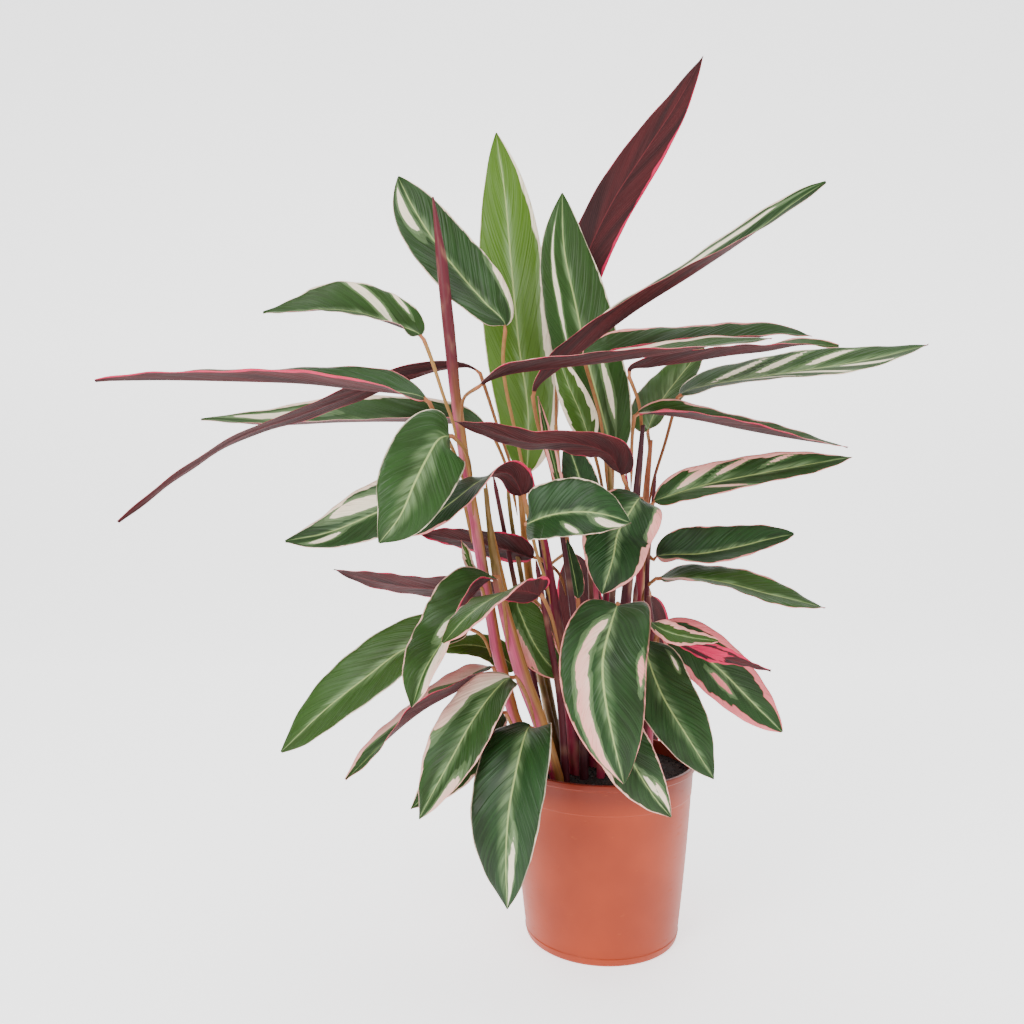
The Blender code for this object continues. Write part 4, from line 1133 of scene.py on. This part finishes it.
def make_shoots(material):
    """The clump's thin shoots, grown by the shoot tree along their courses."""
    points, edges, reaches, marks, tints = [], [], [], [], []
    for number, shoot in enumerate(SHOOTS):
        thick, thin = shoot.radii
        places = [seen_at(*place) for place in shoot.seen]
        places[0].z = SOIL_TOP - SHOOT_SINK
        _, length = course(places, 0, len(places) - 1, (0, 1))
        found, _ = course(places, 0, len(places) - 1, even(round(length / SHOOT_STEP)), FINE_COURSE_STEPS)
        for k, (point, _) in enumerate(found):
            share = k / (len(found) - 1)
            if k:
                edges.append((len(points) - 1, len(points)))
            points.append(point)
            tip = max(share * SHOOT_TIPS - SHOOT_TIPS + 1, 0)
            reaches.append((thick + (thin - thick) * share) * (1 - SHOOT_TAPER * tip))
            marks.append((number * SHOOT_PHASE, point.z, number))
            tints.append(shoot.tint)
    mesh = bpy.data.meshes.new("shoots")
    mesh.from_pydata([tuple(point) for point in points], edges, [])
    holder = put("shoots", mesh)
    mesh.attributes.new("reach", "FLOAT", "POINT").data.foreach_set("value", reaches)
    keep_numbers(holder, "stem_place", marks)
    keep_numbers(holder, "stem_tint", tints, "FLOAT_COLOR")
    shoots = run_tree(holder, shoot_tree(), {"Material": material}, "shoots_grown")
    shoots.data.shade_smooth()
    ride_for(shoots, None)
    return shoots


def run_tree(holder, tree, values, name):
    """Runs a node tree on an object and keeps the result as a plain mesh in a new one."""
    grown = holder.modifiers.new("grown", "NODES")
    grown.node_group = tree
    for item in tree.interface.items_tree:
        if item.in_out == "INPUT" and item.name in values:
            grown[item.identifier] = values[item.name]
    graph = bpy.context.evaluated_depsgraph_get()
    mesh = bpy.data.meshes.new_from_object(holder.evaluated_get(graph))
    bpy.data.objects.remove(holder, do_unlink=True)
    mesh.name = name
    return put(name, mesh)


def blade_half_width(leaf, s):
    """The outline: a round base, widest before the middle, drawn out to a tip."""
    rise = 1 - (1 - min(s / WIDEST, 1)) ** BASE_ROUNDNESS[0]
    fall = 1 - (max(s - WIDEST, 0) / (1 - WIDEST)) ** leaf.blunt
    full = leaf.half_width * rise ** BASE_ROUNDNESS[1] * fall**TIP_ROUNDNESS
    return max(full, NECK_RADIUS * (1 - s) + TIP_HALF_WIDTH * s)


def blade_frame(leaf, point, tangent, s):
    """The blade's normal and sideways direction at a point of its midrib."""
    to_eye = (EYE - point).normalized()
    facing = (to_eye - tangent * to_eye.dot(tangent)).normalized()
    turned = math.radians(blend(leaf.roll, s))
    side = tangent.cross(facing)
    normal = facing * math.cos(turned) + side * math.sin(turned)
    return normal, tangent.cross(normal)


def blade_ring(leaf, point, tangent, s):
    """One cross-section: the top from left to right, then the underside from right to left."""
    normal, side = blade_frame(leaf, point, tangent, s)
    half = blade_half_width(leaf, s)
    fold = math.radians(leaf.fold) * min(s / FOLD_RUN_IN, 1) * (1 - FOLD_LOSS * s)
    keel = KEEL_DEPTH * (1 - s) ** 2
    top, under = [], []
    for i in range(PETIOLE_SIDES):
        u = 2 * i / (PETIOLE_SIDES - 1) - 1
        out = abs(u)
        lag = WAVE_LAG if u > 0 else 0.0
        lift = half * (math.sin(fold) * out - CUP * out * out)
        lift += leaf.wave * out * out * math.sin(WAVES * s + lag + leaf.half_width * WAVE_START)
        lift += RIPPLE * out**3 * math.sin(RIPPLES * s + 2.3 * lag) * min(s * RIPPLE_RISE, 1)
        back = half * out**1.5 * leaf.lobes[0 if u < 0 else 1] * max(1 - s / LOBE_REACH, 0)
        centre = point + side * (half * u * math.cos(fold)) + normal * lift - tangent * back
        lean = min(out * 5, 1)
        skin = (normal * math.cos(fold) - side * math.copysign(math.sin(fold) * lean, u)).normalized()
        thick = BLADE_THICKNESS / 2 * (1 - MARGIN_THINNING * out**6)
        inner = math.exp(-((u * half / KEEL_SPREAD) ** 2))
        top.append(centre + skin * (thick - RIB_GROOVE * inner * min(s * GROOVE_RISE, 1)))
        under.append(centre - skin * (thick + keel * inner))
    return top + under[::-1]


def leaf_line(leaf, stems):
    """The leaf's course: against its stem, along the petiole, and down the midrib."""
    petiole = [seen_at(*place) for place in leaf.petiole]
    rib = [seen_at(*place) for place in leaf.rib]
    stem = stems[leaf.stem]
    towards = (petiole + rib)[0]
    hugging = []
    for rise, clear in ((-HUG_LENGTH, 0.0), (0.0, HUG_SPREAD), (LEAD_RISE, LEAD_OUT)):
        axis, radius = stem_place(stem, leaf.height + rise)
        out = (towards - axis).to_2d().normalized()
        hugging.append(axis + out.to_3d() * (radius + PETIOLE_RADIUS + HUG_GAP + clear))
    return hugging + petiole + rib, len(hugging) + len(petiole)


def eased(stalk):
    """The stalk's places with their bends rounded; its ends keep their places."""
    line = [point for point, _ in stalk]
    for _ in range(STALK_EASINGS):
        middle = [(a + b * 2 + c) / 4 for a, b, c in zip(line, line[1:], line[2:-1])]
        line = [line[0], *middle, *line[-2:]]
    turns = [(b - a).normalized() for a, b in zip(line, line[1:])]
    return list(zip(line, [*turns[:-1], stalk[-2][1], stalk[-1][1]]))


def splash_at(paint, u, s):
    """How deep inside a light splash this place of the blade is, from -1 to 1."""
    vein = s - VEIN_SLANT * abs(u)
    best = -1.0
    for across, reach, along, length in paint.splashes:
        centre = along - VEIN_SLANT * abs(across)
        far = math.hypot((u - across) / reach, (vein - centre) / length)
        best = max(best, 1 - far)
    return best


def carried_back(normal, stalk):
    """The blade's first normal taken down the stalk without a twist, listed from the foot up."""
    normals = []
    for _, tangent in reversed(stalk):
        normal = (normal - tangent * normal.dot(tangent)).normalized()
        normals.append(normal)
    return normals[::-1]


def add_stalk(skin, stalk, normals, length, redness):
    """The stalk's rings: thin at the foot, thickest under the neck."""
    start = math.radians(180 - 180 / PETIOLE_SIDES)
    steps = len(stalk)
    for i, ((point, tangent), normal) in enumerate(zip(stalk, normals)):
        radius = PETIOLE_RADIUS + (NECK_RADIUS - PETIOLE_RADIUS) * (i / steps) ** 3
        radius *= min(FOOT_RADIUS * (1 + i), 1)
        ring = round_ring(point, normal, tangent.cross(normal), radius, PETIOLE_SIDES, start)
        back = -(1 - i / steps) * length * 10
        marks = [(abs(2 * j / PETIOLE_SIDES - 1), back, -1.0) for j in range(PETIOLE_SIDES)]
        skin.add(ring, marks, [(redness, 0.0, 0.0)] * PETIOLE_SIDES)


def add_blade(skin, leaf, blade, shares, paint):
    """The blade's rings from the neck to the tip, with the place and the paint of each point."""
    for (point, tangent), s in zip(blade, shares):
        marks, paints = [], []
        for j in range(2 * PETIOLE_SIDES):
            top_face = j < PETIOLE_SIDES
            i = j if top_face else 2 * PETIOLE_SIDES - 1 - j
            u = 2 * i / (PETIOLE_SIDES - 1) - 1
            marks.append((u, s, 1.0 if top_face else -1.0))
            edge = paint.edges[0] if u < 0 else paint.edges[1]
            paints.append((splash_at(paint, u, s), edge, paint.pale))
        skin.add(blade_ring(leaf, point, tangent, s), marks, paints)
    skin.zip_shut()


def make_leaf(leaf, stems, number, material):
    """One leaf: stalk, neck and blade in one closed skin, with its place and paint numbers."""
    paint = PAINTS[leaf.name]
    line, neck = leaf_line(leaf, stems)
    _, length = course(line, 0, neck, (0, 1))
    steps = max(FEWEST_PETIOLE_STEPS, round(length / PETIOLE_STEP))
    stalk, _ = course(line, 0, neck, even(steps), FINE_COURSE_STEPS)
    stalk = eased(stalk)[:-1]
    shares = [share**BLADE_CROWDING for share in even(BLADE_STEPS)]
    blade, _ = course(line, neck, len(line) - 1, shares, FINE_COURSE_STEPS)
    normal, _ = blade_frame(leaf, *blade[0], 0)

    skin = Skin()
    add_stalk(skin, stalk, carried_back(normal, stalk), length, paint.stalk)
    add_blade(skin, leaf, blade, shares, paint)
    made = mesh_object(leaf.name + "_grown", skin.points, skin.faces, material)
    keep_numbers(made, "leaf_place", skin.marks)
    keep_numbers(made, "leaf_paint", skin.paints)
    keep_numbers(made, "leaf_kind", [(number * SEED_STEP, paint.tone, paint.blush)] * len(skin.points))
    ride_for(made, leaf.name)
    return made


def turned(name, profile, sides, material):
    """A closed solid of revolution. The profile runs from the axis round to the axis again."""
    points, faces, rings = [], [], []
    for radius, height in profile:
        if radius == 0:
            rings.append([len(points)])
            points.append(Vector((0, 0, height)))
            continue
        rings.append(list(range(len(points), len(points) + sides)))
        for i in range(sides):
            angle = math.tau * i / sides
            points.append(Vector((radius * math.cos(angle), radius * math.sin(angle), height)))
    for low, high in zip(rings, rings[1:]):
        for i in range(sides):
            k = (i + 1) % sides
            if len(low) == 1:
                faces.append((low[0], high[k], high[i]))
            elif len(high) == 1:
                faces.append((low[i], low[k], high[0]))
            else:
                faces.append((low[i], low[k], high[k], high[i]))
    return mesh_object(name, points, faces, material)


def wall_radius(height):
    """The outside of the pot's wall, a little steeper near its foot."""
    share = height / POT_HEIGHT
    return POT_BASE_RADIUS + (POT_TOP_RADIUS - POT_BASE_RADIUS) * (share + WALL_BULGE * share * (1 - share))


def rounded(corners, radius, steps=4):
    """A profile with each inner corner taken off by a small curve."""
    line = [corners[0]]
    for before, corner, after in zip(corners, corners[1:], corners[2:]):
        a, b, c = (Vector(place) for place in (before, corner, after))
        cut = min(radius, (a - b).length * 0.45, (c - b).length * 0.45)
        enter, leave = b + (a - b).normalized() * cut, b + (c - b).normalized() * cut
        for i in range(steps + 1):
            t = i / steps
            line.append(tuple(enter * (1 - t) ** 2 + b * (2 * t * (1 - t)) + leave * t**2))
    return line + [corners[-1]]


def make_pot(look):
    """The pot: one turned shell with a foot, a collar and a lip, and its drain holes cut."""
    collar = POT_HEIGHT - COLLAR_BELOW_TOP
    lip = POT_HEIGHT - POT_LIP_HEIGHT
    groove = COLLAR_GROOVE
    outside = [(0, 0), (POT_BASE_RADIUS - 0.001, 0), (wall_radius(0.002), 0.002),
               (wall_radius(FOOT_HEIGHT) + groove, FOOT_HEIGHT),
               (wall_radius(FOOT_HEIGHT), FOOT_HEIGHT + COLLAR_EDGE)]
    outside += [(wall_radius(height / 1000), height / 1000) for height in WALL_RINGS_MM]
    outside += [(wall_radius(collar), collar), (wall_radius(collar) + groove, collar + COLLAR_EDGE),
                (wall_radius(lip) + groove, lip), (POT_LIP_RADIUS, lip + LIP_EDGE),
                (POT_LIP_RADIUS, POT_HEIGHT)]
    inside = [(wall_radius(height) - POT_WALL, height) for height in (POT_HEIGHT, INNER_RING, POT_FLOOR)]
    profile = rounded([*outside, *inside, (0, POT_FLOOR)], POT_CORNER)
    pot = turned("pot_shell", profile, look.pot_sides, pot_finish(look))
    cut_holes(pot)
    pot.data.set_sharp_from_angle(angle=math.radians(50))
    ride_for(pot, "pot")
    return pot


def cut_holes(pot):
    """Drain holes through the pot's floor."""
    form = bmesh.new()
    for i in range(DRAIN_HOLES):
        angle = math.tau * (i + 0.5) / DRAIN_HOLES
        found = bmesh.ops.create_cone(form, cap_ends=True, segments=DRAIN_SIDES, radius1=DRAIN_RADIUS,
                                      radius2=DRAIN_RADIUS, depth=POT_FLOOR * 4)
        move = Vector((DRAIN_RING * math.cos(angle), DRAIN_RING * math.sin(angle), POT_FLOOR / 2))
        bmesh.ops.translate(form, verts=found["verts"], vec=move)
    mesh = bpy.data.meshes.new("drain_cutter")
    form.to_mesh(mesh)
    form.free()
    cutter = put("drain_cutter", mesh)
    cut = pot.modifiers.new("drain", "BOOLEAN")
    cut.object = cutter
    cut.operation = "DIFFERENCE"
    graph = bpy.context.evaluated_depsgraph_get()
    done = bpy.data.meshes.new_from_object(pot.evaluated_get(graph))
    pot.modifiers.clear()
    pot.data = done
    bpy.data.objects.remove(cutter, do_unlink=True)


def lumpy(x, y):
    """The soil's uneven surface, always at or below its crown."""
    wave = math.sin(x * 210 + 1.3) * math.cos(y * 190 + 0.4) + 0.6 * math.sin(x * 95 - y * 120)
    return -LUMPS_BELOW_CROWN - LUMP_SIZE * wave


def make_soil(look):
    """The soil: a rough cake in the pot, with crumbs scattered on it by a node tree."""
    material = soil_finish()
    inner = POT_WALL + SEAT_GAP
    heights = (POT_FLOOR + SEAT_GAP, *SOIL_RINGS_BELOW)
    profile = [(0, heights[0])] + [(wall_radius(height) - inner, height) for height in heights]
    edge = wall_radius(SOIL_TOP) - inner
    profile.append((edge, SOIL_TOP - SOIL_EDGE_DROP))
    for i in range(1, SOIL_RINGS):
        radius = edge * (1 - i / SOIL_RINGS)
        crown = SOIL_CROWN * min(1, (1 - radius / edge) * SOIL_SLOPE)
        profile.append((radius, SOIL_TOP + crown))
    profile.append((0, SOIL_TOP + SOIL_CROWN))
    soil = turned("soil_cake", profile, SOIL_SIDES, material)
    for vertex in soil.data.vertices:
        if vertex.co.z > SOIL_TOP - SOIL_EDGE_DROP / 2:
            vertex.co.z += lumpy(vertex.co.x, vertex.co.y)
    ride_for(soil, "soil")
    crumbs = scatter_crumbs(soil, look)
    ride_for(crumbs, None)
    return soil, crumbs


def crumb_tree():
    """Node tree: small rough crumbs at random over the upward faces of a mesh."""
    grow = Growth("Soil crumbs", (("Density", "Float", 60000.0), ("Smallest", "Float", 0.0006),
                                  ("Largest", "Float", 0.0016), ("Seed", "Int", 4)))
    seed = grow.given["Seed"]
    facing = grow.node("ShaderNodeSeparateXYZ", None, {0: grow.node("GeometryNodeInputNormal")[0]})
    settings = {"data_type": "FLOAT", "operation": "GREATER_THAN"}
    upward = grow.node("FunctionNodeCompare", settings, {0: facing[2], 1: 0.6})
    sockets = {"Mesh": grow.given["Geometry"], "Selection": upward[0], "Density": grow.given["Density"]}
    points = grow.node("GeometryNodeDistributePointsOnFaces", None, {**sockets, "Seed": seed})
    crumb = grow.node("GeometryNodeMeshIcoSphere", None, {"Radius": 1.0, "Subdivisions": 1})

    def random(data_type, low, high):
        """Random values between the numbers or links of two sockets."""
        settings = {"data_type": data_type}
        return grow.node("FunctionNodeRandomValue", settings, {**low, **high, "Seed": seed})

    turn = random("FLOAT_VECTOR", {0: (0, 0, 0)}, {1: (math.tau, math.tau, math.tau)})[0]
    form = random("FLOAT_VECTOR", {0: (0.6, 0.6, 0.35)}, {1: (1.5, 1.0, 0.9)})[0]
    size = random("FLOAT", {2: grow.given["Smallest"]}, {3: grow.given["Largest"]})[1]
    scale = grow.node("ShaderNodeVectorMath", {"operation": "SCALE"}, {0: form, "Scale": size})[0]
    sockets = {"Points": points[0], "Instance": crumb[0], "Rotation": turn, "Scale": scale}
    return grow.finished(grow.node("GeometryNodeInstanceOnPoints", None, sockets)[0])


def scatter_crumbs(soil, look):
    """Runs the crumb tree over the soil and keeps the result as a plain mesh."""
    holder = put("crumb_holder", soil.data.copy())
    values = {"Density": look.crumb_density, "Seed": look.crumb_seed, "Material": soil_finish("crumb")}
    return run_tree(holder, crumb_tree(), values, "soil_crumbs")


def make_backdrop(look):
    """A floor that sweeps up into a wall behind the plant."""
    f = Finish("backdrop")
    material = f.wear({"Base Color": tuple(look.floor), "Roughness": 0.9, "Specular IOR Level": 0.1,
                       "Emission Color": (1, 1, 1), "Emission Strength": look.glow})
    sweep = [(FLOOR_NEAR, 0.0), (FLOOR_FAR, 0.0)]
    for i in range(1, SWEEP_STEPS + 1):
        angle = math.pi / 2 * i / SWEEP_STEPS
        rise = SWEEP_RADIUS - SWEEP_RADIUS * math.cos(angle)
        sweep.append((FLOOR_FAR + SWEEP_RADIUS * math.sin(angle), rise))
    sweep.append((FLOOR_FAR + SWEEP_RADIUS, WALL_TOP))
    points = [(x, y, z - FLOOR_DROP) for y, z in sweep for x in (-FLOOR_HALF_WIDTH, FLOOR_HALF_WIDTH)]
    faces = [(2 * i, 2 * i + 1, 2 * i + 3, 2 * i + 2) for i in range(len(sweep) - 1)]
    mesh = bpy.data.meshes.new("backdrop")
    mesh.from_pydata(points, [], faces)
    mesh.materials.append(material)
    mesh.shade_smooth()
    put("backdrop", mesh)


def make_lights(look):
    """Even light from all round and three soft lamps."""
    world = bpy.data.worlds.new("studio")
    world.use_nodes = True
    world.node_tree.nodes["Background"].inputs["Color"].default_value = (1, 1, 1, 1)
    world.node_tree.nodes["Background"].inputs["Strength"].default_value = look.ambient
    bpy.context.scene.world = world
    for name, place, diameter, share in LIGHTS:
        light = bpy.data.lights.new(name, "AREA")
        light.shape = "DISK"
        light.size = diameter
        light.energy = look.key * share
        lamp = put(name, light)
        lamp.location = place
        lamp.rotation_euler = (LIGHTS_AIM - Vector(place)).to_track_quat("-Z", "Y").to_euler()


def make_camera():
    """The camera at the plant's viewpoint, level."""
    view = bpy.data.cameras.new("view")
    view.sensor_width = SENSOR_MM
    view.lens = FOCAL_PX * SENSOR_MM / FRAME_PX
    camera = put("view", view)
    camera.location = EYE
    camera.rotation_euler = (math.pi / 2, 0, 0)
    bpy.context.scene.camera = camera


# Settings, operators and panel

def tint(name, text, colour):
    settings = {"subtype": "COLOR", "size": 3, "min": 0, "max": 1}
    return FloatVectorProperty(name=name, description=text, default=colour, **settings)


def amount(name, text, default, unit="NONE"):
    return FloatProperty(name=name, description=text, default=default, min=0, unit=unit)


def count(name, text, default, least):
    return IntProperty(name=name, description=text, default=default, min=least)


class PlantLook(bpy.types.PropertyGroup):
    """Colours and counts that a user may change."""

    leaf_dark: tint("Dark green", "The darkest green of a blade's top", srgb(6, 23, 10))
    leaf_green: tint("Green", "The common green of a blade's top", srgb(15, 48, 19))
    leaf_light: tint("Light green", "The bands between the side veins", srgb(48, 90, 44))
    leaf_yellow: tint("Yellow green", "The tone that young leaves turn to", srgb(84, 122, 14))
    leaf_pale: tint("Feathering", "The pale streaks beside the midrib", srgb(140, 168, 116))
    leaf_rib: tint("Midrib", "The midrib seen from above", srgb(176, 196, 118))
    cream: tint("Cream", "Light splashes and margins", srgb(250, 236, 206))
    pink: tint("Pink", "Light splashes where they blush", srgb(240, 146, 140))
    under_dark: tint("Burgundy shade", "The darkest of the underside", srgb(34, 6, 8))
    under_red: tint("Burgundy", "The common red of the underside", srgb(68, 13, 17))
    under_vein: tint("Underside vein", "Midrib and veins beneath", srgb(116, 38, 44))
    under_pink: tint("Bright pink", "The underside of light splashes", srgb(222, 26, 84))
    stalk_tan: tint("Stalk", "Petioles in the light", srgb(160, 120, 66))
    stalk_red: tint("Red stalk", "Petioles that are flushed", srgb(112, 34, 40))
    neck: tint("Neck", "The swollen neck under each blade", srgb(170, 106, 70))
    pot: tint("Pot", "The pot's plastic", srgb(162, 58, 22))
    # This colour gives the pot's darker clouds and also the painted shade over the collar band.
    pot_cloud_and_painted_shade: tint("Pot shade", "The pot's darker clouds", srgb(114, 34, 12))
    pot_scuff: tint("Pot scuffs", "Fine scuffs on the pot", srgb(190, 98, 60))
    pot_sides: count("Pot sides", "Sides of the turned pot", 144, 32)
    crumb_density: amount("Crumb density", "Crumbs a square metre", 52000.0)
    crumb_seed: count("Crumb seed", "Seed of the scattered crumbs", 4, 0)


class StageLook(bpy.types.PropertyGroup):
    """The floor and the light."""

    floor: tint("Floor", "The pale sweep", (0.86, 0.86, 0.86))
    glow: amount("Glow", "Light that the sweep itself gives", 1.6)
    ambient: amount("Ambient", "Light from all round", 0.42)
    key: amount("Key power", "Power of the key light", 74.0, "POWER")


class PLANT_OT_make_pot(bpy.types.Operator):
    """Turn the tapered plastic pot"""

    bl_idname = "plant.make_pot"
    bl_label = "Make pot"

    def execute(self, context):
        make_pot(context.scene.plant_look)
        return {"FINISHED"}


class PLANT_OT_make_soil(bpy.types.Operator):
    """Fill the pot with soil and scatter its crumbs"""

    bl_idname = "plant.make_soil"
    bl_label = "Make soil"

    def execute(self, context):
        make_soil(context.scene.plant_look)
        return {"FINISHED"}


class PLANT_OT_make_stems(bpy.types.Operator):
    """Grow the sheathed stems"""

    bl_idname = "plant.make_stems"
    bl_label = "Make stems"

    def execute(self, context):
        material = stem_finish()
        for stem in STEMS:
            make_stem(stem, material)
        make_shoots(material)
        return {"FINISHED"}


class PLANT_OT_make_leaves(bpy.types.Operator):
    """Grow every leaf with its stalk, veins and light splashes"""

    bl_idname = "plant.make_leaves"
    bl_label = "Make leaves"

    def execute(self, context):
        material = leaf_finish(context.scene.plant_look)
        stems = {stem.name: stem for stem in STEMS}
        for number, leaf in enumerate(LEAVES):
            make_leaf(leaf, stems, number, material)
        return {"FINISHED"}


class PLANT_OT_set_stage(bpy.types.Operator):
    """Set the floor, the lights and the camera"""

    bl_idname = "plant.set_stage"
    bl_label = "Set stage"

    def execute(self, context):
        look = context.scene.plant_stage
        make_backdrop(look)
        make_lights(look)
        make_camera()
        return {"FINISHED"}


class PLANT_PT_panel(bpy.types.Panel):
    """The plant's settings and steps"""

    bl_label = "Potted plant"
    bl_idname = "PLANT_PT_panel"
    bl_space_type = "VIEW_3D"
    bl_region_type = "UI"
    bl_category = "Plant"

    def draw(self, context):
        for group in (context.scene.plant_look, context.scene.plant_stage):
            for name in group.bl_rna.properties.keys():
                if name not in ("rna_type", "name"):
                    self.layout.prop(group, name)
        for step in STEPS:
            self.layout.operator(step.bl_idname)


STEPS = (PLANT_OT_set_stage, PLANT_OT_make_pot, PLANT_OT_make_soil, PLANT_OT_make_stems,
         PLANT_OT_make_leaves)
CLASSES = (PlantLook, StageLook, *STEPS, PLANT_PT_panel)


def register():
    for cls in CLASSES:
        bpy.utils.register_class(cls)
    bpy.types.Scene.plant_look = PointerProperty(type=PlantLook)
    bpy.types.Scene.plant_stage = PointerProperty(type=StageLook)


def unregister():
    del bpy.types.Scene.plant_stage
    del bpy.types.Scene.plant_look
    for cls in reversed(CLASSES):
        bpy.utils.unregister_class(cls)


def main():
    register()
    for step in STEPS:
        group, name = step.bl_idname.split(".")
        getattr(getattr(bpy.ops, group), name)()


if __name__ == "__main__":
    main()
